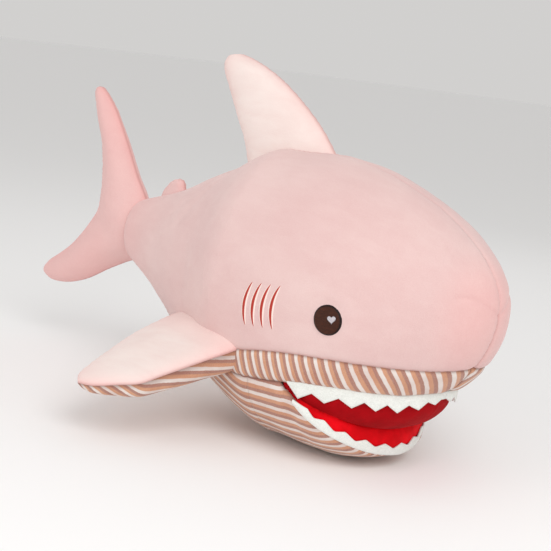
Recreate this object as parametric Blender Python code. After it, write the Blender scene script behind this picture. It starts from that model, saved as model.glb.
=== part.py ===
"""Plush shark, 600 mm long, lying on its belly with its mouth open.

The toy faces +X and stands on Z = 0. Every sewn panel, felt strip, embroidered patch and
stuffing is a closed solid of its own. All sizes in this file are in millimetres, and mesh
points are written in metres. The origin is on the floor, under the middle of the length.
"""
import math

import bmesh
import bpy
import numpy as np

MM = 0.001
CLOTH = 2.0            # thickness of a sewn panel with its pile
FELT = 1.2             # thickness of the felt teeth
FILL_GAP = 1.0         # between a panel and the stuffing behind it
NOSE_FILL_INSET = 6.0  # the stuffing stays this far inside the tip of the nose
SEAM_GAP = 0.3         # half of the gap between two panels at a seam
ROOT_GAP = 0.8         # between a fin's rounded root and the trunk

# Trunk: the nose tip, the widest station, and the stations behind it.
NOSE_X = 300.0
NOSE_Z = 158.0
WIDEST_X = 106.7
TAIL_END_X = -128.0
STATION_X = (-158.0, -86.0, -9.5, 66.9, WIDEST_X)
STATION_HALF_WIDTH = (22.0, 43.0, 70.0, 101.0, 102.0)
STATION_TOP = (179.5, 200.5, 236.0, 266.0, 266.0)
STATION_BOTTOM = (122.0, 88.0, 32.0, -4.0, -5.0)
KEEL_SHARE = 0.25      # the part of the head over which the flattened belly ends
MIDDLE_SHARE = 0.48    # height of the widest line, as a share of the section
UPPER_POWER = 2.05     # superellipse powers of the section's two halves
LOWER_POWER = 2.33

# Seams, as heights over X.
SIDE_SEAM_X = (-158.0, -86.0, -33.0, 30.0, 95.0, 131.0, 170.0, 225.0, 268.0, 284.0)
SIDE_SEAM_Z = (133.0, 106.0, 88.0, 85.0, 88.0, 95.0, 100.0, 103.0, 104.5, 106.0)
LIP_SEAM_X = (60.0, 91.0, 127.0, 149.0, 170.0, 217.0, 243.0, 262.0)
LIP_SEAM_Z = (64.0, 64.0, 67.0, 70.0, 73.5, 75.0, 76.0, 79.0)
LIP_PANEL_POINT_X = 46.0     # the lip panel starts in a point here, on the side seam
LIP_PANEL_FULL_X = 74.0
LIP_FRONT_X = 262.0          # where the upper lip's edge meets the centre seam
LIP_PANEL_END_X = 284.0
BELLY_END_X = 130.0          # the last free station of the belly, before the throat
THROAT_X = 140.0             # the throat wall takes its outline from this station
THROAT_LEAN = math.radians(12.0)
CORNER_X = 149.0             # mouth corner
PALATE_BACK_X = 154.0
PALATE_FRONT_X = 247.0
PALATE_SIDE_GAP = 5.0
PALATE_BULGE = 9.0           # how far the roof of the mouth hangs below the lip
NOSE_FILL_END_X = 297.0

# Lower jaw: a half-ellipse lip in a sloping plane, over a hull-shaped bottom.
HINGE_Z = 72.0
JAW_LIP_BACK_Z = 65.0
JAW_TIP_X = 223.0
JAW_TIP_Z = 17.0
JAW_HALF_WIDTH = 89.5
JAW_FLOOR_Z = 2.0
JAW_BACK_LEAN = math.radians(2.0)
JAW_MIDDLE_RISE = 64.0       # from the lip to the hull's widest line, at the hinge
JAW_FLAT_SHARE = 0.35        # the floor is flat over this part of the jaw's length
JAW_TIP_POWER = 2.4          # and rises to the tip with this power of the rest
JAW_SHARES = (0.0, 0.15, 0.3, 0.45, 0.6, 0.74, 0.86, 0.94, 0.98, 1.0)
STUFFED_SHARES = JAW_SHARES[:7]
TONGUE_SIDE_GAP = 6.5
TONGUE_BULGE = 10.0

# Teeth: places of the tips along X, and how far the strips reach from the lips.
UPPER_TIPS_X = (160.0, 180.0, 201.0, 220.0, 237.0, 250.0, 258.0)
UPPER_VALLEY = 8.0
UPPER_TIP = 16.0
UPPER_CLEARANCE = 4.0        # between the upper strip and the lower lip at the corner
UPPER_CLEARANCE_SLOPE = 0.2  # and how fast it grows towards the front
LOWER_TIPS_X = (174.0, 188.0, 201.0, 212.0)
LOWER_VALLEY = 4.0
LOWER_TIP = 8.0
LOWER_START_X = 168.0        # the lower strip grows from nothing here
LOWER_SLOPE = 0.42
LOWER_TEETH_INSET = 3.6

# Eyes and gill slits on the flank.
EYE_X = 192.0
EYE_Z = 136.0
EYE_RADIUS = 12.5
HEART_SIZE = 4.0
HEART_AHEAD = 4.5
GILL_COUNT = 4
GILL_FIRST_X = 104.0
GILL_PITCH = 10.7
GILL_MIDDLE_Z = 131.0
GILL_RISE = 1.3        # each slit is this much higher than the one behind it
GILL_HALF_HEIGHT = 21.0
GILL_BOW = 6.0
GILL_SLANT = 1.2
GILL_HALF_WIDTH = 1.3
PATCH_FOOT = 0.4       # embroidery stands between these heights over the plush
PATCH_TOP = 1.4
HEART_FOOT = 1.8
HEART_TOP = 2.4

# Fins. A pectoral hinge is given for the right side, and the left one is its mirror image.
TIP_SHARE = 1.6        # a fin's tip moves in by this multiple of the inset of its sides
DORSAL_HINGE = ((-8.0, 0.0, 262.0), (108.0, 0.0, 288.0))
DORSAL_TOWARD = (20.0, 0.0, 350.0)
DORSAL_HALF_THICKNESS = 14.5
SECOND_HINGE = ((-116.0, 0.0, 199.0), (-82.0, 0.0, 212.0))
SECOND_TOWARD = (-104.0, 0.0, 230.0)
SECOND_HALF_THICKNESS = 6.5
PECTORAL_HINGE = ((-27.0, -85.0, 84.0), (105.0, -121.0, 83.0))
PECTORAL_TIP = (16.0, -212.0, 44.0)
PECTORAL_HALF_THICKNESS = 17.0
TAIL_HINGE_X = -150.0
TAIL_HINGE_Z = 152.0
TAIL_ROOT_RADIUS = 21.0
TAIL_HALF_THICKNESS = 20.0

PINK = (0.83, 0.63, 0.60)
PALE_PINK = (0.91, 0.80, 0.76)
STRIPE = (0.68, 0.50, 0.41)
RED = (0.58, 0.01, 0.03)
DARK_RED = (0.38, 0.01, 0.02)
FELT_WHITE = (0.86, 0.88, 0.84)
EYE_BROWN = (0.07, 0.03, 0.02)
HEART_GREY = (0.52, 0.48, 0.51)
GILL_RED = (0.52, 0.07, 0.04)
FILLING_WHITE = (0.85, 0.85, 0.83)


# ---------------------------------------------------------------- meshes and materials

def material(name, colour, roughness=0.95):
    made = bpy.data.materials.new(name)
    made.use_nodes = True
    shader = made.node_tree.nodes["Principled BSDF"]
    shader.inputs["Base Color"].default_value = (*colour, 1.0)
    shader.inputs["Roughness"].default_value = roughness
    shader.inputs["Metallic"].default_value = 0.0
    made.diffuse_color = (*colour, 1.0)
    return made


def solid(name, points, faces, colour, parent=None):
    """One closed body from points in millimetres, world frame; its origin is its parent's."""
    mesh = bpy.data.meshes.new(name)
    work = bmesh.new()
    vertices = [work.verts.new(tuple(float(value) * MM for value in point)) for point in points]
    for face in faces:
        corners = [vertices[index] for index in dict.fromkeys(face)]
        if len(corners) > 2 and work.faces.get(corners) is None:
            work.faces.new(corners)
    bmesh.ops.remove_doubles(work, verts=work.verts, dist=0.02 * MM)
    bmesh.ops.triangulate(work, faces=work.faces)
    bmesh.ops.dissolve_degenerate(work, dist=0.001 * MM, edges=work.edges)
    bmesh.ops.recalc_face_normals(work, faces=work.faces)
    if work.calc_volume(signed=True) < 0.0:
        bmesh.ops.reverse_faces(work, faces=work.faces)
    if parent is not None:
        bmesh.ops.translate(work, verts=work.verts, vec=-parent.location)
    work.to_mesh(mesh)
    work.free()
    mesh.shade_smooth()
    mesh.set_sharp_from_angle(angle=math.radians(50.0))
    made = bpy.data.objects.new(name, mesh)
    made.data.materials.append(material(name, colour))
    bpy.context.scene.collection.objects.link(made)
    made.parent = parent
    return made


def grid_faces(rows, columns, first=0):
    faces = []
    for row in range(rows - 1):
        for column in range(columns - 1):
            corner = first + row * columns + column
            faces.append((corner, corner + 1, corner + columns + 1, corner + columns))
    return faces


def sheet(name, front, back, colour, parent=None):
    """A closed body between two grids of points, joined along all four edges."""
    rows, columns = front.shape[:2]
    count = rows * columns
    faces = grid_faces(rows, columns)
    faces += [tuple(reversed(face)) for face in grid_faces(rows, columns, count)]
    edge = [column for column in range(columns)]
    edge += [row * columns + columns - 1 for row in range(1, rows)]
    edge += [(rows - 1) * columns + column for column in range(columns - 2, -1, -1)]
    edge += [row * columns for row in range(rows - 2, 0, -1)]
    for here, following in zip(edge, edge[1:] + edge[:1]):
        faces.append((following, here, here + count, following + count))
    points = np.concatenate([front.reshape(-1, 3), back.reshape(-1, 3)])
    return solid(name, points, faces, colour, parent)


def loft(name, rings, colour, parent=None):
    """A closed body through a series of closed rings with equal numbers of points."""
    count = len(rings[0])
    faces = []
    for ring in range(len(rings) - 1):
        for index in range(count):
            near = ring * count + index
            beside = ring * count + (index + 1) % count
            faces.append((near, beside, beside + count, near + count))
    faces.append(tuple(reversed(range(count))))
    faces.append(tuple(range((len(rings) - 1) * count, len(rings) * count)))
    return solid(name, np.concatenate(rings), faces, colour, parent)


def smooth_line(points, count):
    """Evenly spread points on a Catmull-Rom curve through the given ones."""
    points = np.array(points, float)
    ends = np.vstack([2 * points[0] - points[1], points, 2 * points[-1] - points[-2]])
    dense = []
    for index in range(len(points) - 1):
        before, start, stop, after = ends[index:index + 4]
        for step in np.linspace(0.0, 1.0, 16, endpoint=False):
            dense.append(0.5 * (2 * start + (stop - before) * step
                                + (2 * before - 5 * start + 4 * stop - after) * step ** 2
                                + (3 * start - before - 3 * stop + after) * step ** 3))
    dense.append(points[-1])
    dense = np.array(dense)
    lengths = np.linalg.norm(np.diff(dense, axis=0), axis=1)
    along = np.concatenate([[0.0], np.cumsum(lengths)])
    wanted = np.linspace(0.0, along[-1], count)
    return np.stack([np.interp(wanted, along, dense[:, axis]) for axis in range(dense.shape[1])], 1)


# ---------------------------------------------------------------- the trunk's surface

def smooth_value(x, stations, values):
    """Cubic interpolation with limited slopes, so that a profile never overshoots."""
    stations = np.array(stations)
    values = np.array(values)
    steps = np.diff(values) / np.diff(stations)
    slopes = np.zeros(len(values))
    for index in range(1, len(values) - 1):
        if steps[index - 1] * steps[index] > 0.0:
            slopes[index] = 2.0 / (1.0 / steps[index - 1] + 1.0 / steps[index])
    slopes[0] = steps[0]
    slopes[-1] = 0.0
    x = min(max(x, stations[0]), stations[-1])
    index = min(int(np.searchsorted(stations, x, side="right")) - 1, len(stations) - 2)
    width = stations[index + 1] - stations[index]
    share = (x - stations[index]) / width
    rise = share * share * (3.0 - 2.0 * share)
    return (values[index] * (1.0 - rise) + values[index + 1] * rise
            + slopes[index] * width * share * (1.0 - share) ** 2
            - slopes[index + 1] * width * share ** 2 * (1.0 - share))


def trunk_section(x, inset=0.0):
    """Half-width, top and bottom of the section at x, moved in by inset."""
    if x <= WIDEST_X:
        return (smooth_value(x, STATION_X, STATION_HALF_WIDTH) - inset,
                smooth_value(x, STATION_X, STATION_TOP) - inset,
                smooth_value(x, STATION_X, STATION_BOTTOM) + inset)
    share = min((x - WIDEST_X) / (NOSE_X - WIDEST_X), 1.0)
    width = (STATION_HALF_WIDTH[-1] - inset) * math.sqrt(1.0 - share ** 2.0)
    top = NOSE_Z + (STATION_TOP[-1] - inset - NOSE_Z) * math.sqrt(1.0 - share ** 1.6)
    keel = STATION_BOTTOM[-1] * max(1.0 - share / KEEL_SHARE, 0.0)
    bottom = NOSE_Z - (NOSE_Z - keel - inset) * math.sqrt(1.0 - share ** 1.3)
    return width, top, bottom


def signed_power(value, power):
    return math.copysign(abs(value) ** power, value)


def trunk_point(x, angle, inset=0.0):
    """Point of the section at x; angle 0 is the shark's right flank, 90 degrees its back."""
    width, top, bottom = trunk_section(x, inset)
    middle = bottom + MIDDLE_SHARE * (top - bottom)
    upper = math.sin(angle) > 0.0
    power = UPPER_POWER if upper else LOWER_POWER
    across = signed_power(math.cos(angle), 2.0 / power)
    upright = signed_power(math.sin(angle), 2.0 / power)
    height = top - middle if upper else middle - bottom
    if x > WIDEST_X:
        x = WIDEST_X + (x - WIDEST_X) * (NOSE_X - inset - WIDEST_X) / (NOSE_X - WIDEST_X)
    z = middle + height * upright
    return np.array((x, -width * across, max(z, inset)))


def angle_at_height(x, z):
    """The trunk angle, on the lower half or just above it, where the flank is z high."""
    _, top, bottom = trunk_section(x)
    middle = bottom + MIDDLE_SHARE * (top - bottom)
    if z >= middle:
        share = min((z - middle) / max(top - middle, 1e-6), 1.0)
        return math.asin(share ** (UPPER_POWER / 2.0))
    share = min((middle - z) / max(middle - bottom, 1e-6), 1.0)
    return -math.asin(share ** (LOWER_POWER / 2.0))


def side_seam_angle(x, lift=0.0):
    return angle_at_height(x, smooth_value(x, SIDE_SEAM_X, SIDE_SEAM_Z) + lift)


def lip_seam_angle(x, lift=0.0):
    side = smooth_value(x, SIDE_SEAM_X, SIDE_SEAM_Z)
    lip = smooth_value(x, LIP_SEAM_X, LIP_SEAM_Z)
    share = (x - LIP_PANEL_POINT_X) / (LIP_PANEL_FULL_X - LIP_PANEL_POINT_X)
    share = min(max(share, 0.0), 1.0)
    return angle_at_height(x, side + (lip - side) * share + lift)


def lip_point(x, inset=0.0):
    """Point of the upper lip's edge on the right side."""
    return trunk_point(x, lip_seam_angle(x), inset)


def mirrored(points):
    return np.array(points) * (1.0, -1.0, 1.0)


# Limits along X and the number of steps from each to the next. All trunk pieces share these
# stations, so that neighbours have matching facets.
STEPS_ALONG = ((TAIL_END_X, 7), (LIP_PANEL_POINT_X, 2), (LIP_PANEL_FULL_X, 3), (BELLY_END_X, 1),
               (CORNER_X + 1.0, 1), (PALATE_BACK_X, 6), (235.0, 3), (PALATE_FRONT_X, 1),
               (259.0, 2), (264.0, 4), (LIP_PANEL_END_X, 3), (NOSE_FILL_END_X, 2),
               (NOSE_X, 0))


def stations(first, last):
    """The shared stations between two places, and those places themselves."""
    found = []
    for (start, count), (stop, _) in zip(STEPS_ALONG, STEPS_ALONG[1:]):
        found += list(np.linspace(start, stop, count, endpoint=False))
    found.append(NOSE_X)
    inner = [x for x in found if first + 0.5 < x < last - 0.5]
    return [first] + inner + [last]


# ---------------------------------------------------------------- trunk pieces

def panel_grid(places, low, high, columns, inset):
    """Grid over the trunk's right side between two angle functions of x."""
    grid = []
    for x in places:
        angles = np.linspace(low(x), high(x), columns)
        grid.append([trunk_point(x, angle, inset) for angle in angles])
    grid = np.array(grid)
    grid[..., 1] = np.minimum(grid[..., 1], -SEAM_GAP)
    return grid


def add_pair(name, front, back, colour):
    sheet(name + "_right", front, back, colour)
    sheet(name + "_left", mirrored(front), mirrored(back), colour)


def add_upper_skins():
    """The two pink halves, sewn together along the back and over the nose."""
    places = stations(TAIL_END_X, NOSE_X)

    def low(x):
        return side_seam_angle(x, SEAM_GAP)

    def high(_):
        return math.pi / 2.0

    front = panel_grid(places, low, high, 11, 0.0)
    back = panel_grid(places, low, high, 11, CLOTH)
    add_pair("upper_skin", front, back, PINK)


def add_lip_panels():
    """The striped band between the side seam and the upper lip."""
    places = stations(LIP_PANEL_POINT_X + 1.5, LIP_PANEL_END_X)

    def low(x):
        return lip_seam_angle(x, SEAM_GAP) if x < LIP_FRONT_X else -math.pi / 2.0

    def high(x):
        return side_seam_angle(x, -SEAM_GAP)

    front = panel_grid(places, low, high, 4, 0.0)
    back = panel_grid(places, low, high, 4, CLOTH)
    add_pair("lip_panel", front, back, STRIPE)


def throat_x(z):
    """The trunk's front wall under the mouth corner leans back as it goes down."""
    return CORNER_X - 1.0 - (HINGE_Z - z) * math.tan(THROAT_LEAN)


def belly_row(x, inset, columns):
    """From the right edge under the belly to the left edge."""
    edge = lip_seam_angle(x, -SEAM_GAP)
    half = [trunk_point(x, angle, inset) for angle in np.linspace(edge, -math.pi / 2.0, columns)]
    other = [point * (1.0, -1.0, 1.0) for point in half[-2::-1]]
    return half + other


def lean_back(row, gap):
    """Moves a belly row forward or back onto the throat wall."""
    return [np.array((throat_x(point[2]) - gap, point[1], point[2])) for point in row]


def add_belly_panel():
    """The striped underside, flat where the toy rests on it."""
    places = stations(TAIL_END_X, BELLY_END_X)
    columns = 9
    front = [belly_row(x, 0.0, columns) for x in places]
    back = [belly_row(x, CLOTH, columns) for x in places]
    front.append(lean_back(belly_row(THROAT_X, 0.0, columns), 0.0))
    back.append(lean_back(belly_row(THROAT_X, CLOTH, columns), 0.0))
    sheet("belly_panel", np.array(front), np.array(back), STRIPE)


def palate_bulge(x):
    """How far the roof of the mouth hangs below the lip in the middle."""
    share = min(max((x - CORNER_X) / (LIP_FRONT_X - CORNER_X), 0.0), 1.0)
    return PALATE_BULGE * math.sin(math.pi * share) ** 0.7


def palate_row(x, side_gap, lift, columns):
    """Across the roof of the mouth, from the right side to the left."""
    lip = lip_point(x)
    half = max(-lip[1] - side_gap, 0.0)
    row = []
    for share in np.linspace(-1.0, 1.0, columns):
        z = lip[2] - 1.0 - palate_bulge(x) * (1.0 - share * share) + lift
        row.append(np.array((x, share * half, z)))
    return row


def add_palate_lining():
    places = stations(PALATE_BACK_X, PALATE_FRONT_X)
    front = np.array([palate_row(x, PALATE_SIDE_GAP, 0.0, 9) for x in places])
    back = np.array([palate_row(x, PALATE_SIDE_GAP, CLOTH, 9) for x in places])
    sheet("palate_lining", front, back, DARK_RED)


def add_trunk_stuffing():
    """The filling of the head and body, hollowed above the mouth."""
    inset = CLOTH + FILL_GAP
    arc = 21
    under = 15
    body_places = stations(TAIL_END_X, BELLY_END_X)
    head_places = stations(CORNER_X + 1.0, PALATE_FRONT_X)
    nose_places = stations(LIP_FRONT_X, NOSE_FILL_END_X)

    def upper_arc(x, low, deep=inset):
        return [trunk_point(x, angle, deep) for angle in np.linspace(low, math.pi - low, arc)]

    def belly_arc(x, low, deep=inset):
        half = np.linspace(low, -math.pi / 2.0, under // 2 + 2)[1:]
        right = [trunk_point(x, angle, deep) for angle in half]
        return [point * (1.0, -1.0, 1.0) for point in right[:-1]] + right[::-1]

    rings = []
    for x in body_places:
        low = lip_seam_angle(x)
        rings.append(upper_arc(x, low) + belly_arc(x, low))
    low = lip_seam_angle(CORNER_X)
    rings.append(upper_arc(CORNER_X, low) + lean_back(belly_arc(THROAT_X, low), FILL_GAP))
    for x in head_places:
        low = lip_seam_angle(x)
        roof = palate_row(x, PALATE_SIDE_GAP, inset, under)[::-1]
        rings.append(upper_arc(x, low) + roof)
    for x in nose_places:
        low = -math.pi / 2.0 * 0.98
        rings.append(upper_arc(x, low, NOSE_FILL_INSET) + belly_arc(x, low, NOSE_FILL_INSET))
    loft("trunk_stuffing", [np.array(ring) for ring in rings], FILLING_WHITE)


# ---------------------------------------------------------------- teeth

def tooth_line(tip_places, valley_depth, tip_depth, limit):
    """Places and depths along a lip that go up and down between the teeth's tips."""
    places = []
    depths = []
    for index, tip in enumerate(tip_places):
        if index:
            valley = (tip + tip_places[index - 1]) / 2.0
            places.append(valley)
            depths.append(min(valley_depth, limit(valley)))
        places.append(tip)
        depths.append(min(tip_depth, limit(tip)))
    return places, depths


def add_upper_teeth():
    """A felt strip with pointed teeth, hanging from the upper lip."""
    def limit(x):
        if x > JAW_TIP_X - UPPER_VALLEY:
            return UPPER_TIP
        clearance = UPPER_CLEARANCE + UPPER_CLEARANCE_SLOPE * (x - CORNER_X)
        return max(lip_point(x)[2] - jaw_lip(x)[2] - clearance, 2.0)

    places, depths = tooth_line(UPPER_TIPS_X, UPPER_VALLEY, UPPER_TIP, limit)
    right = []
    for x, depth in zip(places, depths):
        lip = lip_point(x, 1.0)
        right.append((lip, depth))
    left = [(mirrored(lip), depth) for lip, depth in reversed(right)]
    front = []
    back = []
    for lip, depth in right + left:
        inward = 1.0 - FELT / max(math.hypot(lip[0] - CORNER_X, lip[1]), 1.0)
        inner = np.array((CORNER_X + (lip[0] - CORNER_X) * inward, lip[1] * inward, lip[2]))
        top = lip[2] - 0.6
        front.append([(lip[0], lip[1], top), (lip[0], lip[1], top - depth)])
        back.append([(inner[0], inner[1], top), (inner[0], inner[1], top - depth)])
    sheet("upper_teeth", np.array(front), np.array(back), FELT_WHITE)


# ---------------------------------------------------------------- lower jaw

def jaw_lip(x, inset=0.0):
    """Point of the lower lip's edge on the right side."""
    share = min(max((x - CORNER_X) / (JAW_TIP_X - inset - CORNER_X), 0.0), 1.0)
    half = (JAW_HALF_WIDTH - inset) * math.sqrt(1.0 - share * share)
    return np.array((x, -half, JAW_LIP_BACK_Z + (JAW_TIP_Z - JAW_LIP_BACK_Z) * share))


def jaw_floor(share, inset):
    rise = max(share - JAW_FLAT_SHARE, 0.0) / (1.0 - JAW_FLAT_SHARE)
    return JAW_FLOOR_Z + inset + (JAW_TIP_Z - JAW_FLOOR_Z - inset) * rise ** JAW_TIP_POWER


def jaw_back_x(z):
    return CORNER_X + 0.5 - (HINGE_Z - z) * math.tan(JAW_BACK_LEAN)


def jaw_hull_row(share, inset, columns):
    """Under the jaw from the right lip to the left; share runs from the hinge to the tip."""
    x = CORNER_X + share * (JAW_TIP_X - inset - CORNER_X)
    lip = jaw_lip(x, inset)
    floor = jaw_floor(share, inset)
    middle = lip[2] + JAW_MIDDLE_RISE * (1.0 - share) ** 1.5
    lip_share = (middle - lip[2]) / max(middle - floor, 1e-6)
    lip_angle = math.asin(min(lip_share, 1.0) ** (LOWER_POWER / 2.0))
    reach = math.cos(lip_angle) ** (2.0 / LOWER_POWER)
    half_width = -lip[1] / reach
    row = []
    for angle in np.linspace(lip_angle, math.pi / 2.0, columns):
        y = -half_width * math.cos(angle) ** (2.0 / LOWER_POWER)
        z = middle - (middle - floor) * math.sin(angle) ** (2.0 / LOWER_POWER)
        shift = (jaw_back_x(z) - CORNER_X) * (1.0 - share)
        row.append(np.array((x + shift, y, z)))
    return row + [point * (1.0, -1.0, 1.0) for point in row[-2::-1]]


def tongue_bulge(share):
    return TONGUE_BULGE * math.sin(math.pi * min(share * 1.05, 1.0)) ** 0.8


def tongue_row(share, side_gap, drop, columns):
    """Across the top of the jaw from the right side to the left."""
    x = CORNER_X + 0.5 + share * (JAW_TIP_X - side_gap - CORNER_X)
    half = -jaw_lip(x, side_gap)[1]
    row = []
    for across in np.linspace(-1.0, 1.0, columns):
        z = jaw_lip(x)[2] - 1.0 + tongue_bulge(share) * (1.0 - across * across) - drop
        row.append(np.array((x, across * half, z)))
    return row


def add_jaw(parent):
    columns = 8
    front = np.array([jaw_hull_row(share, 0.0, columns) for share in JAW_SHARES])
    back = np.array([jaw_hull_row(share, CLOTH, columns) for share in JAW_SHARES])
    sheet("jaw_panel", front, back, STRIPE, parent)

    front = np.array([tongue_row(share, TONGUE_SIDE_GAP, 0.0, 9) for share in STUFFED_SHARES])
    back = np.array([tongue_row(share, TONGUE_SIDE_GAP, CLOTH, 9) for share in STUFFED_SHARES])
    sheet("tongue_lining", front, back, RED, parent)

    inset = CLOTH + FILL_GAP
    rings = []
    for share in STUFFED_SHARES:
        under = jaw_hull_row(share, inset, columns)
        top = tongue_row(share, TONGUE_SIDE_GAP, inset, 9)
        rings.append(np.array(under + top[::-1]))
    loft("jaw_stuffing", rings, FILLING_WHITE, parent)
    add_lower_teeth(parent)


def add_lower_teeth(parent):
    """A shorter felt strip standing inside the lower lip."""
    def limit(x):
        return max(LOWER_SLOPE * (x - LOWER_START_X), 1.0)

    places, heights = tooth_line(LOWER_TIPS_X, LOWER_VALLEY, LOWER_TIP, limit)
    right = []
    for x, height in zip(places, heights):
        lip = jaw_lip(x)
        shrink = 1.0 - LOWER_TEETH_INSET / math.hypot(lip[0] - CORNER_X, lip[1])
        base_x = CORNER_X + (lip[0] - CORNER_X) * shrink
        base = np.array((base_x, lip[1] * shrink, jaw_lip(base_x)[2]))
        right.append((base, height))
    left = [(mirrored(base), height) for base, height in reversed(right)]
    front = []
    back = []
    for base, height in right + left:
        inward = 1.0 - FELT / math.hypot(base[0] - CORNER_X, base[1])
        inner = np.array((CORNER_X + (base[0] - CORNER_X) * inward, base[1] * inward, base[2]))
        low = base[2] + FILL_GAP
        front.append([(base[0], base[1], low), (base[0], base[1], low + height)])
        back.append([(inner[0], inner[1], low), (inner[0], inner[1], low + height)])
    sheet("lower_teeth", np.array(front), np.array(back), FELT_WHITE, parent)


# ---------------------------------------------------------------- eyes and gill slits

def flank_point(x, z, proud):
    """Point over the right flank at (x, z), standing proud of it along the normal."""
    angle = angle_at_height(x, z)
    here = trunk_point(x, angle)
    ahead = trunk_point(x + 0.5, angle_at_height(x + 0.5, z))
    above = trunk_point(x, angle_at_height(x, z + 0.5))
    normal = np.cross(ahead - here, above - here)
    normal /= np.linalg.norm(normal)
    if normal[1] > 0.0:
        normal = -normal
    return here + normal * proud


def patch(outline, low, high):
    """Grids of a small patch: its middle, and its outline, under and over."""
    outline = np.array(outline)
    centre = outline.mean(0)
    rings = (0.3, 0.65, 1.0)
    loops = []
    for proud in (high, low):
        rows = []
        for share in rings:
            points = centre + (outline - centre) * share
            row = [flank_point(x, z, proud) for x, z in points]
            rows.append(row + row[:1])
        loops.append(np.array(rows))
    return loops


def add_patch(name, outline, low, high, colour):
    over, under = patch(outline, low, high)
    count = over.shape[1] - 1
    for side, flip in (("right", 1.0), ("left", -1.0)):
        rings = [over[0], over[1], over[2], under[2], under[1], under[0]]
        rings = [ring[:count] * (1.0, flip, 1.0) for ring in rings]
        loft(name.format(side), rings, colour)


def add_eyes():
    circle = [(EYE_X + EYE_RADIUS * math.cos(turn), EYE_Z + EYE_RADIUS * math.sin(turn))
              for turn in np.linspace(0.0, 2.0 * math.pi, 20, endpoint=False)]
    add_patch("eye_patch_{}", circle, PATCH_FOOT, PATCH_TOP, EYE_BROWN)
    heart = []
    for turn in np.linspace(0.0, 2.0 * math.pi, 18, endpoint=False):
        across = math.sin(turn) ** 3
        upright = (13 * math.cos(turn) - 5 * math.cos(2 * turn)
                   - 2 * math.cos(3 * turn) - math.cos(4 * turn)) / 16.0
        x = EYE_X + HEART_AHEAD + HEART_SIZE * across
        heart.append((x, EYE_Z + 1.0 + HEART_SIZE * upright))
    add_patch("eye_heart_{}", heart, HEART_FOOT, HEART_TOP, HEART_GREY)


def gill_grid(index, proud):
    """Points of one gill slit, from its lower to its upper end, tapering to both."""
    middle_x = GILL_FIRST_X + GILL_PITCH * index
    middle_z = GILL_MIDDLE_Z + GILL_RISE * index
    grid = []
    for along in np.linspace(-1.0, 1.0, 9):
        centre = middle_x + GILL_BOW * along * along + GILL_SLANT * along
        width = GILL_HALF_WIDTH * math.sqrt(1.02 - along * along)
        z = middle_z + GILL_HALF_HEIGHT * along
        grid.append([flank_point(centre + width * across, z, proud) for across in (-1.0, 0.0, 1.0)])
    return np.array(grid)


def add_gill_slits():
    for index in range(GILL_COUNT):
        front = gill_grid(index, PATCH_TOP)
        back = gill_grid(index, PATCH_FOOT)
        number = str(index + 1)
        sheet("gill_slit_right_" + number, front, back, GILL_RED)
        sheet("gill_slit_left_" + number, mirrored(front), mirrored(back), GILL_RED)


# ---------------------------------------------------------------- fins

def moved_in(starts, stops, depths, inset, ends):
    """Pulls the last sections of a fin towards their neighbours, along straight lines."""
    for end, beside in ends:
        reach = np.linalg.norm(starts[end] + stops[end] - starts[beside] - stops[beside]) / 2.0
        share = min(TIP_SHARE * inset / reach, 0.7)
        starts[end] += (starts[beside] - starts[end]) * share
        stops[end] += (stops[beside] - stops[end]) * share
        depths[end] += (depths[beside] - depths[end]) * share


def chord_kept(start, stop, inset):
    chord = np.linalg.norm(stop - start)
    return max(1.0 - 2.0 * inset / max(chord, 1e-3), 0.1)


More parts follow.
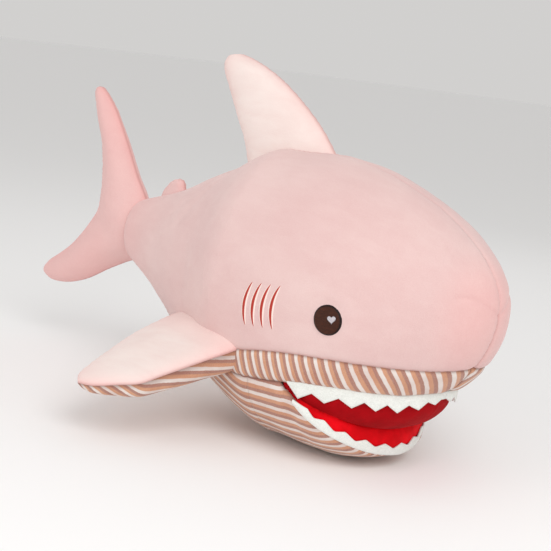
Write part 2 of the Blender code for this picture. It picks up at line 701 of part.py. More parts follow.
class Fin:
    """A flat stuffed fin in its own frame: a along the hinge, b outward, c through it."""

    def __init__(self, name, hinge_back, hinge_front, toward, half_thickness):
        self.name = name
        self.back = np.array(hinge_back, float)
        self.front = np.array(hinge_front, float)
        self.middle = (self.back + self.front) / 2.0
        self.a = (self.front - self.back) / np.linalg.norm(self.front - self.back)
        outward = np.array(toward, float) - self.middle
        outward -= self.a * (outward @ self.a)
        self.b = outward / np.linalg.norm(outward)
        self.c = np.cross(self.a, self.b)
        self.half_thickness = half_thickness
        self.trunk = self.trunk_samples()

    def trunk_samples(self):
        """Distance along the hinge, and from it, of points over the trunk's surface."""
        samples = []
        for x in np.arange(TAIL_END_X, 290.0, 4.0):
            for angle in np.linspace(-math.pi / 2.0, 1.5 * math.pi, 90, endpoint=False):
                turn = angle if angle <= math.pi / 2.0 else math.pi - angle
                point = trunk_point(x, turn)
                if angle > math.pi / 2.0:
                    point = point * (1.0, -1.0, 1.0)
                offset = point - self.middle
                along = offset @ self.a
                samples.append((along, np.linalg.norm(offset - along * self.a)))
        return np.array(samples)

    def root_radius(self, along):
        """Clear distance from the hinge to the trunk beside this place on the hinge."""
        near = np.abs(self.trunk[:, 0] - along) < 6.0
        return self.trunk[near, 1].min() - ROOT_GAP if near.any() else 6.0

    def world(self, along, out, through):
        return self.middle + self.a * along + self.b * out + self.c * through

    def grid(self, lead, trail, side, inset, rows, columns):
        """One face of the fin, set in by inset from the outer surface."""
        starts = smooth_line(lead, rows)
        stops = smooth_line(trail, rows)
        depths = self.half_thickness * (1.0 - np.linspace(0.0, 1.0, rows) ** 3.0) ** 0.6
        moved_in(starts, stops, depths, inset, ((rows - 1, rows - 2),))
        depths *= 1.0 - inset / self.half_thickness
        grid = []
        for start, stop, depth in zip(starts, stops, depths):
            keep = chord_kept(start, stop, inset)
            points = []
            for share in np.linspace(0.0, 1.0, columns):
                place = start + (stop - start) * (0.5 + (share - 0.5) * keep)
                through = depth * (1.0 - abs(2.0 * share - 1.0) ** 2.4) ** 0.55
                points.append((place[0], place[1], side * (SEAM_GAP / 2.0 + through)))
            grid.append(points)
        grid = np.array(grid)
        root = grid[:1].copy()
        for index, (along, _, through) in enumerate(root[0]):
            radius = max(self.root_radius(along), abs(through) + 0.5)
            root[0, index, 1] = -math.sqrt(radius ** 2 - through ** 2)
        grid = np.concatenate([root, grid])
        return np.array([[self.world(*point) for point in line] for line in grid])

    def build(self, lead, trail, names, colours, rows=7, columns=7):
        """Two skins and the stuffing between them, on an empty at the hinge."""
        hinge = bpy.data.objects.new(self.name + "_hinge", None)
        hinge.location = tuple(float(value) * MM for value in self.middle)
        bpy.context.scene.collection.objects.link(hinge)
        for side, name, colour in zip((1.0, -1.0), names, colours):
            front = self.grid(lead, trail, side, 0.0, rows, columns)
            back = self.grid(lead, trail, side, CLOTH, rows, columns)
            sheet(name, front, back, colour, hinge)
        inset = CLOTH + FILL_GAP
        one = self.grid(lead, trail, 1.0, inset, rows, columns)
        other = self.grid(lead, trail, -1.0, inset, rows, columns)
        sheet(self.name + "_stuffing", one, other, FILLING_WHITE, hinge)


def add_dorsal_fin():
    fin = Fin("dorsal_fin", *DORSAL_HINGE, DORSAL_TOWARD, DORSAL_HALF_THICKNESS)

    def local(points):
        offsets = [np.array((x, 0.0, z)) - fin.middle for x, z in points]
        return [(offset @ fin.a, max(offset @ fin.b, 0.0)) for offset in offsets]

    lead = local([(104, 285), (88, 292), (65, 307), (38, 326), (8, 341), (-20, 348), (-40, 347)])
    trail = local([(-8, 260), (-14, 268), (-24, 283), (-38, 306), (-48, 322), (-51, 334), (-40, 347)])
    fin.build(lead, trail, ("dorsal_skin_right", "dorsal_skin_left"), (PALE_PINK, PALE_PINK))


def add_second_dorsal_fin():
    fin = Fin("second_dorsal", *SECOND_HINGE, SECOND_TOWARD, SECOND_HALF_THICKNESS)
    lead = [(17.0, 0.0), (13.0, 5.0), (7.0, 11.0), (0.0, 15.0), (-6.0, 16.5)]
    trail = [(-17.0, 0.0), (-16.5, 4.0), (-14.0, 9.0), (-10.5, 13.5), (-6.0, 16.5)]
    fin.build(lead, trail, ("second_dorsal_skin_right", "second_dorsal_skin_left"),
              (PINK, PINK), rows=5, columns=5)


def add_pectoral_fins():
    lead = [(62.0, 0.0), (61.0, 22.0), (59.0, 44.0), (55.0, 67.0), (46.0, 86.0),
            (29.0, 100.0), (5.0, 108.0)]
    trail = [(-62.0, 0.0), (-58.0, 18.0), (-52.0, 34.0), (-43.0, 54.0), (-32.0, 74.0),
             (-17.0, 94.0), (5.0, 108.0)]
    panels = (("_under", STRIPE), ("_top", PALE_PINK))
    for side, flip, order in (("right", 1.0, panels), ("left", -1.0, panels[::-1])):
        back, front, tip = [np.array(point) * (1.0, flip, 1.0)
                            for point in (*PECTORAL_HINGE, PECTORAL_TIP)]
        fin = Fin("pectoral_" + side, back, front, tip, PECTORAL_HALF_THICKNESS)
        names = [fin.name + ending for ending, _ in order]
        fin.build(lead, trail, names, [colour for _, colour in order])


def tail_rows(rows):
    """Front and back edges of the tail fin from its lower tip to its upper tip."""
    front = [(-300, 74), (-262, 75), (-225, 85), (-190, 100), (-160, 113), (-137, 121),
             (-130, 136), (-130, 152), (-130, 168), (-136, 184), (-152, 205), (-172, 237),
             (-196, 268), (-217, 287), (-236, 292)]
    back = [(-300, 74), (-281, 93), (-258, 112), (-241, 130), (-229, 146), (-224, 156),
            (-222, 166), (-221, 176), (-221, 187), (-221, 199), (-223, 215), (-227, 238),
            (-236, 261), (-243, 280), (-236, 292)]
    return smooth_line(front, rows), smooth_line(back, rows)


def tail_grid(side, inset, rows, columns):
    starts, stops = tail_rows(rows)
    depths = TAIL_HALF_THICKNESS * (1.0 - np.abs(np.linspace(-1.0, 1.0, rows)) ** 2.0) ** 0.45
    moved_in(starts, stops, depths, inset, ((0, 1), (rows - 1, rows - 2)))
    depths *= 1.0 - inset / TAIL_HALF_THICKNESS
    grid = []
    for start, stop, depth in zip(starts, stops, depths):
        keep = chord_kept(start, stop, inset)
        points = []
        for share in np.linspace(0.0, 1.0, columns):
            place = start + (stop - start) * (0.5 + (share - 0.5) * keep)
            through = depth * math.sin(math.pi * min(share, 0.9999) ** 0.75) ** 0.7
            if share in (0.0, 1.0):
                through = 0.0
            ahead = place[0] - TAIL_HINGE_X
            if ahead > 0.0:
                room = max((TAIL_ROOT_RADIUS - inset) ** 2 - ahead ** 2, 0.0)
                through = min(through, math.sqrt(room))
            points.append((place[0], side * (SEAM_GAP / 2.0 + through), place[1]))
        grid.append(points)
    return np.array(grid)


def add_tail_fin(rows=15, columns=8):
    hinge = bpy.data.objects.new("tail_fin_hinge", None)
    hinge.location = (TAIL_HINGE_X * MM, 0.0, TAIL_HINGE_Z * MM)
    bpy.context.scene.collection.objects.link(hinge)
    for side, name in ((-1.0, "tail_skin_right"), (1.0, "tail_skin_left")):
        sheet(name, tail_grid(side, 0.0, rows, columns), tail_grid(side, CLOTH, rows, columns),
              PINK, hinge)
    inset = CLOTH + FILL_GAP
    sheet("tail_stuffing", tail_grid(-1.0, inset, rows, columns),
          tail_grid(1.0, inset, rows, columns), FILLING_WHITE, hinge)


# ---------------------------------------------------------------- the whole toy

def main():
    for leftover in list(bpy.data.objects):
        bpy.data.objects.remove(leftover)
    add_upper_skins()
    add_lip_panels()
    add_belly_panel()
    add_palate_lining()
    add_trunk_stuffing()
    add_upper_teeth()
    add_eyes()
    add_gill_slits()
    jaw_hinge = bpy.data.objects.new("jaw_hinge", None)
    jaw_hinge.location = (CORNER_X * MM, 0.0, HINGE_Z * MM)
    bpy.context.scene.collection.objects.link(jaw_hinge)
    add_jaw(jaw_hinge)
    add_dorsal_fin()
    add_second_dorsal_fin()
    add_pectoral_fins()
    add_tail_fin()


main()
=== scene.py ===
"""Looks of the plush shark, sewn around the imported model.

Sizes are in millimetres in the model's frame, +X to the nose and +Z up; meshes are written in
metres. The trunk has the sections of the CAD source, so each panel lies where its solid is.
Only the belly differs: it rises from the floor behind the jaw, and is a little fuller beside
the mouth's corner. The right side has negative Y, and the left side is its mirror image.
"""
import math

import bmesh
import bpy
import numpy as np
from mathutils import Matrix, Vector, kdtree, noise


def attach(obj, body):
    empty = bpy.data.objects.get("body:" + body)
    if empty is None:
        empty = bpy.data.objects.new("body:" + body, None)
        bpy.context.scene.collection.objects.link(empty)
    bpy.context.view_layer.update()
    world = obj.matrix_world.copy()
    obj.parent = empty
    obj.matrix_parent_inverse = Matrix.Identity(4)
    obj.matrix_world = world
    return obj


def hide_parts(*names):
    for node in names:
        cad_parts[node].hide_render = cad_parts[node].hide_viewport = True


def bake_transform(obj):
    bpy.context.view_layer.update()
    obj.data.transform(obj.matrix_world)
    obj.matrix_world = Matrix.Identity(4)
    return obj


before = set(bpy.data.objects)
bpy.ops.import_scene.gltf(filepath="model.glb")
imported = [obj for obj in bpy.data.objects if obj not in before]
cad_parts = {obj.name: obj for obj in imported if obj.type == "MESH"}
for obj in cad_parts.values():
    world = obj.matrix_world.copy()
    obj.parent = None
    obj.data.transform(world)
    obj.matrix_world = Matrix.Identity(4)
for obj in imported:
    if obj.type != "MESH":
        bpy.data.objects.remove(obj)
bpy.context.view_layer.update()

MM = 0.001
CLOTH = 1.6
FELT = 1.2
SIDES = ((1.0, "right"), (-1.0, "left"))
MIRROR = (1.0, -1.0, 1.0)

# The trunk. Behind the jaw its bottom is higher than in the CAD source.
NOSE_X = 300.0
NOSE_Z = 158.0
WIDEST_X = 106.7
STATION_X = (-158.0, -86.0, -9.5, 66.9, WIDEST_X)
STATION_HALF_WIDTH = (22.0, 43.0, 70.0, 101.0, 102.0)
STATION_TOP = (179.5, 200.5, 236.0, 266.0, 266.0)
STATION_BOTTOM = (122.0, 88.0, 37.5, 10.5, 1.0)
KEEL_SHARE = 0.25
MIDDLE_SHARE = 0.48
UPPER_POWER = 2.05
LOWER_POWER = 2.2
BELLY_FULLNESS = 0.30    # added to the lower power around the mouth's corner, which is boxier
TRUNK_END_X = -151.0
TRUNK_ROUNDING = 14.0   # the trunk's end is rounded off over this length
TRUNK_END_INSET = 7.0
BACK = math.pi / 2.0    # angles of the back and the keel around a section
KEEL = -math.pi / 2.0

# Seams, as heights over X. Behind the pectoral fins the side seam is lower than in the CAD source.
SIDE_SEAM_X = (-158.0, -86.0, -33.0, 30.0, 95.0, 131.0, 170.0, 225.0, 268.0, 284.0)
SIDE_SEAM_Z = (128.0, 98.0, 80.0, 83.0, 88.0, 95.0, 100.0, 103.0, 104.5, 106.0)
LIP_SEAM_X = (60.0, 91.0, 127.0, 149.0, 170.0, 217.0, 243.0, 262.0)
LIP_SEAM_Z = (64.0, 64.0, 67.0, 70.0, 73.5, 75.0, 76.0, 79.0)
LIP_PANEL_POINT_X = 46.0
LIP_PANEL_FULL_X = 74.0
LIP_FRONT_X = 262.0
LIP_PANEL_END_X = 284.0
CORNER_X = 149.0
DART = ((299.0, 5.0, 160.0), (295.5, 16.0, 167.0), (289.0, 28.0, 172.0), (281.0, 39.0, 172.0))

# The lower lip: half an ellipse in a plane that slopes down to its tip.
LOW_LIP_START_X = 151.8
LOW_LIP_REACH = 70.8
LOW_LIP_HALF_WIDTH = 92.2
LOW_LIP_TUCK = 3.5      # drawn in at the corner, where it meets the lip seam
LOW_LIP_START_Z = 64.3
LOW_LIP_DROP = 48.7
JAW_START_X = 112.0     # the seam between the belly and the jaw
JAW_FLOOR_Z = 0.0
JAW_VIEW_Z = 110.0      # stripes are spread around this height
JAW_FLAT_SHARE = 0.15
JAW_TIP_POWER = 1.8
JAW_HALF_WIDTH = 100.6

STRIPE_PITCH = 11.0
LIP_STRIPE_PITCH = 9.2
LIP_STRIPE_START_X = 119.5
LIP_STRIPE_SLANT = 0.25
LIP_NOSE_SLANT = 0.72

# Embroidery on the flanks.
EYE_X = 192.0
EYE_Z = 136.0
EYE_RADIUS = 12.8
EYE_STRETCH = 1.03
EYE_DIP_WIDTH = 1.2
HEART_SIZE = 4.1
HEART_AHEAD = 4.2
HEART_LIFT = 1.6
HEART_TURN = 0.14
GILL_COUNT = 4
GILL_FIRST_X = 107.0
GILL_PITCH = 9.9
GILL_MIDDLE_Z = 133.2
GILL_RISE = 0.9
GILL_HALF_HEIGHT = 19.6
GILL_BOW = 4.6
GILL_SLANT = 1.2
GILL_HALF_WIDTH = 3.1
PATCH_BACK = -0.8       # embroidery reaches this far into the plush

# A seam is followed in short steps, and it moves cloth that is within its reach.
SEAM_STEP = 0.4
SEAM_REACH = 30.0
SHADE_REACH = 6.0

TRUNK_FILL = 0.85
FIN_FILL = 0.75


# -------- camera, floor and lights

CAMERA_PLACE = (823.0, -892.1, 344.0)
CAMERA_RIGHT = (0.73636, 0.66571, 0.12085)
CAMERA_UP = (-0.20320, 0.04723, 0.97800)
LENS_MM = 81.33


def put(name, data):
    made = bpy.data.objects.new(name, data)
    bpy.context.scene.collection.objects.link(made)
    return made


def add_camera():
    right = Vector(CAMERA_RIGHT).normalized()
    up = Vector(CAMERA_UP).normalized()
    turn = Matrix((right, up, right.cross(up))).transposed().to_4x4()
    data = bpy.data.cameras.new("camera")
    data.lens = LENS_MM
    camera = put("camera", data)
    camera.matrix_world = Matrix.Translation(Vector(CAMERA_PLACE) * MM) @ turn
    bpy.context.scene.camera = camera


def add_light(name, place, target, size, power):
    data = bpy.data.lights.new(name, "AREA")
    data.shape = "DISK"
    data.size = size
    data.energy = power
    light = put(name, data)
    light.location = place
    light.rotation_euler = (Vector(target) - Vector(place)).to_track_quat("-Z", "Y").to_euler()


def add_studio():
    """A pale floor, a soft key from above the head, a weak fill, and an even pale sky."""
    bpy.context.scene.view_settings.view_transform = "Standard"
    middle = (0.0, 0.0, 0.13)
    add_light("key_light", (1.30, -0.70, 1.30), middle, 1.2, 13.4)
    add_light("fill_light", (-0.3, -1.6, 0.7), middle, 1.6, 6.6)
    add_light("rim_light", (-0.4, 1.1, 1.1), middle, 1.2, 1.2)
    world = bpy.data.worlds.new("studio")
    world.use_nodes = True
    sky = world.node_tree.nodes["Background"]
    sky.inputs["Color"].default_value = (1.0, 0.985, 0.97, 1.0)
    sky.inputs["Strength"].default_value = 0.64
    bpy.context.scene.world = world
    mesh = bpy.data.meshes.new("floor")
    half = 30.0
    corners = [(-half, -half, 0.0), (half, -half, 0.0), (half, half, 0.0), (-half, half, 0.0)]
    mesh.from_pydata(corners, [], [(0, 1, 2, 3)])
    floor = put("floor", mesh)
    floor.location.z = -0.0005      # just below the belly, so that the two don't flicker
    paint = bpy.data.materials.new("floor_paper")
    paint.use_nodes = True
    shader = paint.node_tree.nodes["Principled BSDF"]
    shader.inputs["Base Color"].default_value = (0.96, 0.96, 0.96, 1.0)
    shader.inputs["Roughness"].default_value = 0.9
    floor.data.materials.append(paint)


# -------- materials

class Graph:
    """A material's nodes, added and linked by name."""

    def __init__(self, name):
        self.material = bpy.data.materials.new(name)
        self.material.use_nodes = True
        self.tree = self.material.node_tree
        self.shader = self.tree.nodes["Principled BSDF"]
        self.rest = self.attribute("rest", "Vector")

    def add(self, kind, inputs=(), **settings):
        made = self.tree.nodes.new(kind)
        for key, value in settings.items():
            setattr(made, key, value)
        for key, value in dict(inputs).items():
            self.feed(value, made.inputs[key])
        return made

    def feed(self, value, socket):
        if isinstance(value, bpy.types.NodeSocket):
            self.tree.links.new(value, socket)
        else:
            socket.default_value = value

    def attribute(self, name, output="Fac"):
        return self.add("ShaderNodeAttribute", attribute_name=name).outputs[output]

    def noise(self, scale, detail=2.0, roughness=0.5, stretch=(1.0, 1.0, 1.0), distortion=0.0):
        """Noise over the rest position; scale is in cells per metre."""
        place = self.add("ShaderNodeMapping", {"Vector": self.rest, "Scale": stretch})
        made = self.add("ShaderNodeTexNoise", {
            "Vector": place.outputs["Vector"], "Scale": scale, "Detail": detail,
            "Roughness": roughness, "Distortion": distortion})
        return made.outputs["Fac"]

    def math(self, operation, first, second=0.0, third=0.0):
        values = enumerate((first, second, third))
        return self.add("ShaderNodeMath", values, operation=operation).outputs[0]

    def between(self, value, low, high, new_low=0.0, new_high=1.0):
        made = self.add("ShaderNodeMapRange", {
            "Value": value, "From Min": low, "From Max": high,
            "To Min": new_low, "To Max": new_high}, interpolation_type="SMOOTHSTEP")
        return made.outputs["Result"]

    def mix(self, share, first, second, blend="MIX"):
        made = self.add("ShaderNodeMix", data_type="RGBA", blend_type=blend)
        self.feed(share, made.inputs[0])
        for value, socket in ((first, made.inputs[6]), (second, made.inputs[7])):
            self.feed((*value, 1.0) if isinstance(value, tuple) else value, socket)
        return made.outputs[2]

    def tint(self, base, field, low, high, most, colour):
        """Mixes in a colour where the field rises from low to high, at most by that share."""
        return self.mix(self.between(field, low, high, 0.0, most), base, colour)

    def paint_seam_shade(self, base, share, colour):
        # Painted shade: mixes a darker colour in where the seam attribute marks a seam's crease.
        return self.mix(self.math("MULTIPLY", self.attribute("seam"), share), base, colour)

    def ramp(self, value, stops):
        made = self.add("ShaderNodeValToRGB", {"Fac": value})
        while len(made.color_ramp.elements) < len(stops):
            made.color_ramp.elements.new(0.5)
        for element, (place, colour) in zip(made.color_ramp.elements, stops):
            element.position = place
            element.color = (*colour, 1.0)
        return made.outputs["Color"]

    def bump(self, height, strength, distance):
        made = self.add("ShaderNodeBump", {
            "Height": height, "Strength": strength, "Distance": distance})
        return made.outputs["Normal"]

    def finish(self, colour, roughness, normal, sheen, sheen_roughness,
               sheen_tint=(1.0, 1.0, 1.0), specular=0.2):
        for key, value in (("Base Color", colour), ("Roughness", roughness), ("Normal", normal),
                           ("Sheen Weight", sheen), ("Sheen Roughness", sheen_roughness),
                           ("Sheen Tint", (*sheen_tint, 1.0)), ("Specular IOR Level", specular)):
            self.feed(value, self.shader.inputs[key])
        return self.material


def linear(red, green, blue):
    """Linear colour from 8-bit display values."""
    values = []
    for value in (red, green, blue):
        share = value / 255.0
        values.append(share / 12.92 if share <= 0.04045 else ((share + 0.055) / 1.055) ** 2.4)
    return tuple(values)


def plush(name, colour, deeper, blushed, seam_shade_colour):
    """Short velboa pile: brushed patches, fine speckle, a deeper pink where it blushes, and painted
    shade along the seams.
    """
    graph = Graph(name)
    brushed = graph.noise(14.0, 2.0, 0.5, stretch=(0.7, 1.0, 1.0), distortion=0.3)
    strokes = graph.noise(90.0, 3.0, 0.6, stretch=(0.35, 1.2, 1.0), distortion=0.4)
    pile = graph.noise(1100.0, 2.0, 0.7)
    patchy = graph.math("MULTIPLY_ADD", strokes, 0.35, graph.math("MULTIPLY", brushed, 0.65))
    base = graph.mix(graph.between(patchy, 0.30, 0.70), deeper, colour)
    base = graph.mix(graph.attribute("blush"), base, blushed)
    base = graph.tint(base, pile, 0.25, 0.75, 0.10, (1.0, 0.90, 0.87))
    # Painted shade along the seams, in a darker pink.
    base = graph.paint_seam_shade(base, 0.45, seam_shade_colour)
    height = graph.math("MULTIPLY_ADD", strokes, 0.6, pile)
    normal = graph.bump(height, 0.32, 0.0010)
    roughness = graph.between(patchy, 0.3, 0.7, 0.62, 0.78)
    return graph.finish(base, roughness, normal, 0.30, 0.45, (1.0, 0.95, 0.94), 0.35)


STRIPE_WHITE = linear(229, 219, 213)
STRIPE_TAN = linear(207, 150, 116)
STRIPE_ROSE = linear(172, 122, 106)


def striped(name):
    """Printed velboa in three-colour stripes; the stripe attribute counts the repeats."""
    graph = Graph(name)
    wobble = graph.noise(160.0, 2.0, 0.5)
    pile = graph.noise(1200.0, 2.0, 0.7)
    soft = graph.math("MULTIPLY_ADD", graph.math("SUBTRACT", wobble, 0.5), 0.10,
                      graph.attribute("stripe"))
    soft = graph.math("MULTIPLY_ADD", graph.math("SUBTRACT", pile, 0.5), 0.05, soft)
    place = graph.math("FRACT", soft)
    colour = graph.ramp(place, (
        (0.0, STRIPE_ROSE), (0.03, STRIPE_WHITE), (0.33, STRIPE_WHITE), (0.38, STRIPE_TAN),
        (0.66, STRIPE_TAN), (0.74, STRIPE_ROSE), (1.0, STRIPE_ROSE)))
    patchy = graph.noise(45.0, 2.0, 0.5)
    colour = graph.mix(graph.between(patchy, 0.35, 0.7, 0.0, 0.22), colour,
                       linear(196, 138, 122), "MULTIPLY")
    colour = graph.tint(colour, pile, 0.3, 0.75, 0.12, (0.95, 0.9, 0.86))
    # Painted shade along the seams, in a darker brown.
    colour = graph.paint_seam_shade(colour, 0.6, linear(120, 76, 64))
    normal = graph.bump(pile, 0.30, 0.0008)
    roughness = graph.between(patchy, 0.3, 0.7, 0.84, 0.96)
    return graph.finish(colour, roughness, normal, 0.30, 0.5, (1.0, 0.94, 0.9))


def lining(name):
    """Red short-pile cloth, with painted shade on the roof of the mouth and in the crease."""
    graph = Graph(name)
    pile = graph.noise(900.0, 3.0, 0.7)
    patchy = graph.noise(40.0, 3.0, 0.6)
    red = graph.mix(graph.between(patchy, 0.35, 0.65), linear(208, 4, 16), linear(236, 8, 24))
    # Painted shade: the shade attribute darkens the red towards a deep red.
    red = graph.mix(graph.attribute("shade"), red, linear(112, 0, 8))
    red = graph.tint(red, pile, 0.35, 0.8, 0.06, linear(225, 40, 44))
    normal = graph.bump(pile, 0.35, 0.0008)
    roughness = graph.between(pile, 0.3, 0.7, 0.82, 0.95)
    return graph.finish(red, roughness, normal, 0.04, 0.5, (1.0, 0.4, 0.4), 0.10)


def felt(name):
    """Pressed white felt with loose fibres."""
    graph = Graph(name)
    fibres = graph.noise(600.0, 4.0, 0.75, stretch=(1.0, 1.0, 1.6), distortion=1.2)
    clumps = graph.noise(150.0, 2.0, 0.5)
    colour = graph.mix(graph.between(fibres, 0.3, 0.7), linear(222, 224, 219),
                       linear(243, 245, 240))
    colour = graph.tint(colour, clumps, 0.35, 0.7, 0.15, linear(205, 214, 205))
    height = graph.math("MULTIPLY_ADD", clumps, 0.6, fibres)
    normal = graph.bump(height, 0.35, 0.0006)
    roughness = graph.between(fibres, 0.3, 0.7, 0.82, 0.95)
    return graph.finish(colour, roughness, normal, 0.25, 0.5)


def embroidery(name, colour, lighter, border=None, border_from=(0.36, 0.52)):
    """Satin stitches side by side along the stitch attribute, which counts threads."""
    graph = Graph(name)
    thread = graph.attribute("stitch")
    wander = graph.noise(500.0, 2.0, 0.6)
    turns = graph.math("MULTIPLY_ADD", wander, 0.7, thread)
    ridge = graph.math("PINGPONG", turns, 0.5)
    sparkle = graph.noise(1500.0, 2.0, 0.7)
    share = graph.math("MULTIPLY_ADD", ridge, 0.9, graph.math("MULTIPLY", sparkle, 0.5))
    base = graph.mix(graph.between(share, 0.25, 0.75), colour, lighter)
    worn = graph.noise(420.0, 3.0, 0.75, stretch=(0.7, 1.0, 1.5))
    base = graph.tint(base, worn, 0.50, 0.72, 0.7, lighter)
    if border is not None:
        base = graph.mix(graph.between(graph.attribute("border"), *border_from), base, border)
    normal = graph.bump(ridge, 0.5, 0.0004)
    roughness = graph.between(ridge, 0.0, 0.5, 0.62, 0.42)
    return graph.finish(base, roughness, normal, 0.05, 0.4)


PINK = linear(226, 195, 191)
PINK_DEEP = linear(219, 182, 179)
PINK_BLUSH = linear(238, 170, 166)
# The colour of the painted shade in the plush's seams.
PINK_SEAM_SHADE = linear(196, 140, 134)
CREAM_PINK = linear(241, 227, 221)
CREAM_DEEP = linear(234, 212, 206)

# -------- meshes

def write_mesh(name, points, faces, fields):
    """An object from points in millimetres; fields are stored as mesh attributes."""
    metres = np.asarray(points) * MM
    mesh = bpy.data.meshes.new(name)
    mesh.from_pydata(metres.tolist(), [], faces)
    rest = mesh.attributes.new("rest", "FLOAT_VECTOR", "POINT")
    rest.data.foreach_set("vector", metres.astype(np.float32).ravel())
    for key, values in fields.items():
        stored = mesh.attributes.new(key, "FLOAT", "POINT")
        stored.data.foreach_set("value", np.asarray(values, np.float32).ravel())
    work = bmesh.new()
    work.from_mesh(mesh)
    bmesh.ops.remove_doubles(work, verts=work.verts, dist=0.01 * MM)
    bmesh.ops.dissolve_degenerate(work, dist=0.001 * MM, edges=work.edges)
    bmesh.ops.recalc_face_normals(work, faces=work.faces)
    work.to_mesh(mesh)
    work.free()
    mesh.shade_smooth()
    return put(name, mesh)


def grid_faces(rows, columns, wrap=False):
    faces = []
    for row in range(rows - 1):
        for column in range(columns if wrap else columns - 1):
            corner = row * columns + column
            beside = row * columns + (column + 1) % columns
            faces.append((corner, beside, beside + columns, corner + columns))
    return faces


def shell(name, front, back, faces, edge, fields):
    """A closed piece: two layers of points with the same faces, joined along their edge."""
    count = front.size // 3
    joined = faces + [tuple(corner + count for corner in reversed(face)) for face in faces]
    for here, following in zip(edge, edge[1:] + edge[:1]):
        joined.append((following, here, here + count, following + count))
    points = np.concatenate([front.reshape(-1, 3), back.reshape(-1, 3)])
    doubled = {key: np.tile(values.ravel(), 2) for key, values in fields.items()}
    return write_mesh(name, points, joined, doubled)


def grid_normals(grid):
    """Unit normals of a grid of points, by the cross product of its two directions."""
    along = np.gradient(grid, axis=0)
    across = np.gradient(grid, axis=1)
    normals = np.cross(along, across)
    return normals / np.maximum(np.linalg.norm(normals, axis=-1, keepdims=True), 1e-9)


def sheet(name, front, back, fields):
    """A closed thin piece between two grids of points."""
    rows, columns = front.shape[:2]
    edge = list(range(columns))
    edge += [row * columns + columns - 1 for row in range(1, rows)]
    edge += [(rows - 1) * columns + column for column in range(columns - 2, -1, -1)]
    edge += [row * columns for row in range(rows - 2, 0, -1)]
    return shell(name, front, back, grid_faces(rows, columns), edge, fields)


def sew(made, node, material, slot, *also_replaces, fill=None, bends=None):
    """Gives a piece its finish, hides the CAD nodes it stands for, and sews it on; how full it is
    (fill) is not used.

    Without a bend it rides on the trunk; with one it is left unattached, its transform baked into its
    mesh."""
    made.data.materials.append(material)
    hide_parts(node, *also_replaces)
    if bends is None:
        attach(made, "trunk")
    else:
        body, start, end = bends
        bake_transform(made)
        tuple(start)
        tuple(end)


def eased(count, low=0.0, high=1.0, ease=0.6):
    """Values from low to high that lie closer together near both ends."""
    plain = np.linspace(0.0, 1.0, count)
    shares = plain * (1.0 - ease) + (0.5 - 0.5 * np.cos(math.pi * plain)) * ease
    return low + (high - low) * shares


def running_length(points):
    """Length from the first point on, along a line or along each row of a grid."""
    steps = np.linalg.norm(np.diff(points, axis=-2), axis=-1)
    return np.concatenate([np.zeros(steps.shape[:-1] + (1,)), np.cumsum(steps, axis=-1)], -1)


def mirrored(half, flip=MIRROR):
    """A right half and its mirror image; the last entry lies in the middle."""
    return np.concatenate([half, half[-2::-1] * flip])


def facing(normals, away):
    """The normals, each turned over where it doesn't point away."""
    return normals * np.where((normals * away).sum(-1) < 0.0, -1.0, 1.0)[..., None]


def step(value, low, high):
    share = np.clip((value - low) / (high - low), 0.0, 1.0)
    return share * share * (3.0 - 2.0 * share)


def smooth_line(points, count):
    """Evenly spread points on a Catmull-Rom curve through the given ones."""
    points = np.array(points, float)
    ends = np.vstack([2 * points[0] - points[1], points, 2 * points[-1] - points[-2]])
    dense = []
    for index in range(len(points) - 1):
        before, start, stop, after = ends[index:index + 4]
        for share in np.linspace(0.0, 1.0, 24, endpoint=False):
            dense.append(0.5 * (2 * start + (stop - before) * share
                                + (2 * before - 5 * start + 4 * stop - after) * share ** 2
                                + (3 * start - before - 3 * stop + after) * share ** 3))
    dense = np.array(dense + [points[-1]])
    along = running_length(dense)
    wanted = np.linspace(0.0, along[-1], count)
    return np.stack([np.interp(wanted, along, values) for values in dense.T], 1)


def lumps(points, size, seed=0.0):
    """Smooth noise from about -1 to 1 over the points, with lumps of that size."""
    flat = np.asarray(points).reshape(-1, 3) / size + seed
    values = [noise.noise(Vector(point)) for point in flat.tolist()]
    return np.array(values).reshape(np.asarray(points).shape[:-1])


# -------- the trunk's surface

def limited_cubic(x, stations, values):
    """Cubic interpolation with limited slopes, so that a profile never overshoots."""
    stations = np.array(stations, float)
    values = np.array(values, float)
    steps = np.diff(values) / np.diff(stations)
    slopes = np.zeros(len(values))
    for index in range(1, len(values) - 1):
        if steps[index - 1] * steps[index] > 0.0:
            slopes[index] = 2.0 / (1.0 / steps[index - 1] + 1.0 / steps[index])
    slopes[0] = steps[0]
    x = np.clip(x, stations[0], stations[-1])
    index = np.clip(np.searchsorted(stations, x, side="right") - 1, 0, len(stations) - 2)
    width = stations[index + 1] - stations[index]
    share = (x - stations[index]) / width
    rise = share * share * (3.0 - 2.0 * share)
    return (values[index] * (1.0 - rise) + values[index + 1] * rise
            + slopes[index] * width * share * (1.0 - share) ** 2
            - slopes[index + 1] * width * share ** 2 * (1.0 - share))


def trunk_section(x):
    """Half-width, top, bottom and widest height of the trunk's section at x."""
    x = np.asarray(x, float)
    share = np.clip((x - WIDEST_X) / (NOSE_X - WIDEST_X), 0.0, 1.0)
    width = STATION_HALF_WIDTH[-1] * np.sqrt(1.0 - share ** 2.0)
    top = NOSE_Z + (STATION_TOP[-1] - NOSE_Z) * np.sqrt(1.0 - share ** 1.6)
    keel = STATION_BOTTOM[-1] * np.maximum(1.0 - share / KEEL_SHARE, 0.0)
    bottom = NOSE_Z - (NOSE_Z - keel) * np.sqrt(1.0 - share ** 1.3)
    behind = x <= WIDEST_X
    width = np.where(behind, limited_cubic(x, STATION_X, STATION_HALF_WIDTH), width)
    top = np.where(behind, limited_cubic(x, STATION_X, STATION_TOP), top)
    bottom = np.where(behind, limited_cubic(x, STATION_X, STATION_BOTTOM), bottom)
    return width, top, bottom, bottom + MIDDLE_SHARE * (top - bottom)


def lower_power(x):
    return LOWER_POWER + BELLY_FULLNESS * step(x, 30.0, 115.0) * (1.0 - step(x, 140.0, 190.0))


def signed_power(value, power):
    return np.sign(value) * np.abs(value) ** power


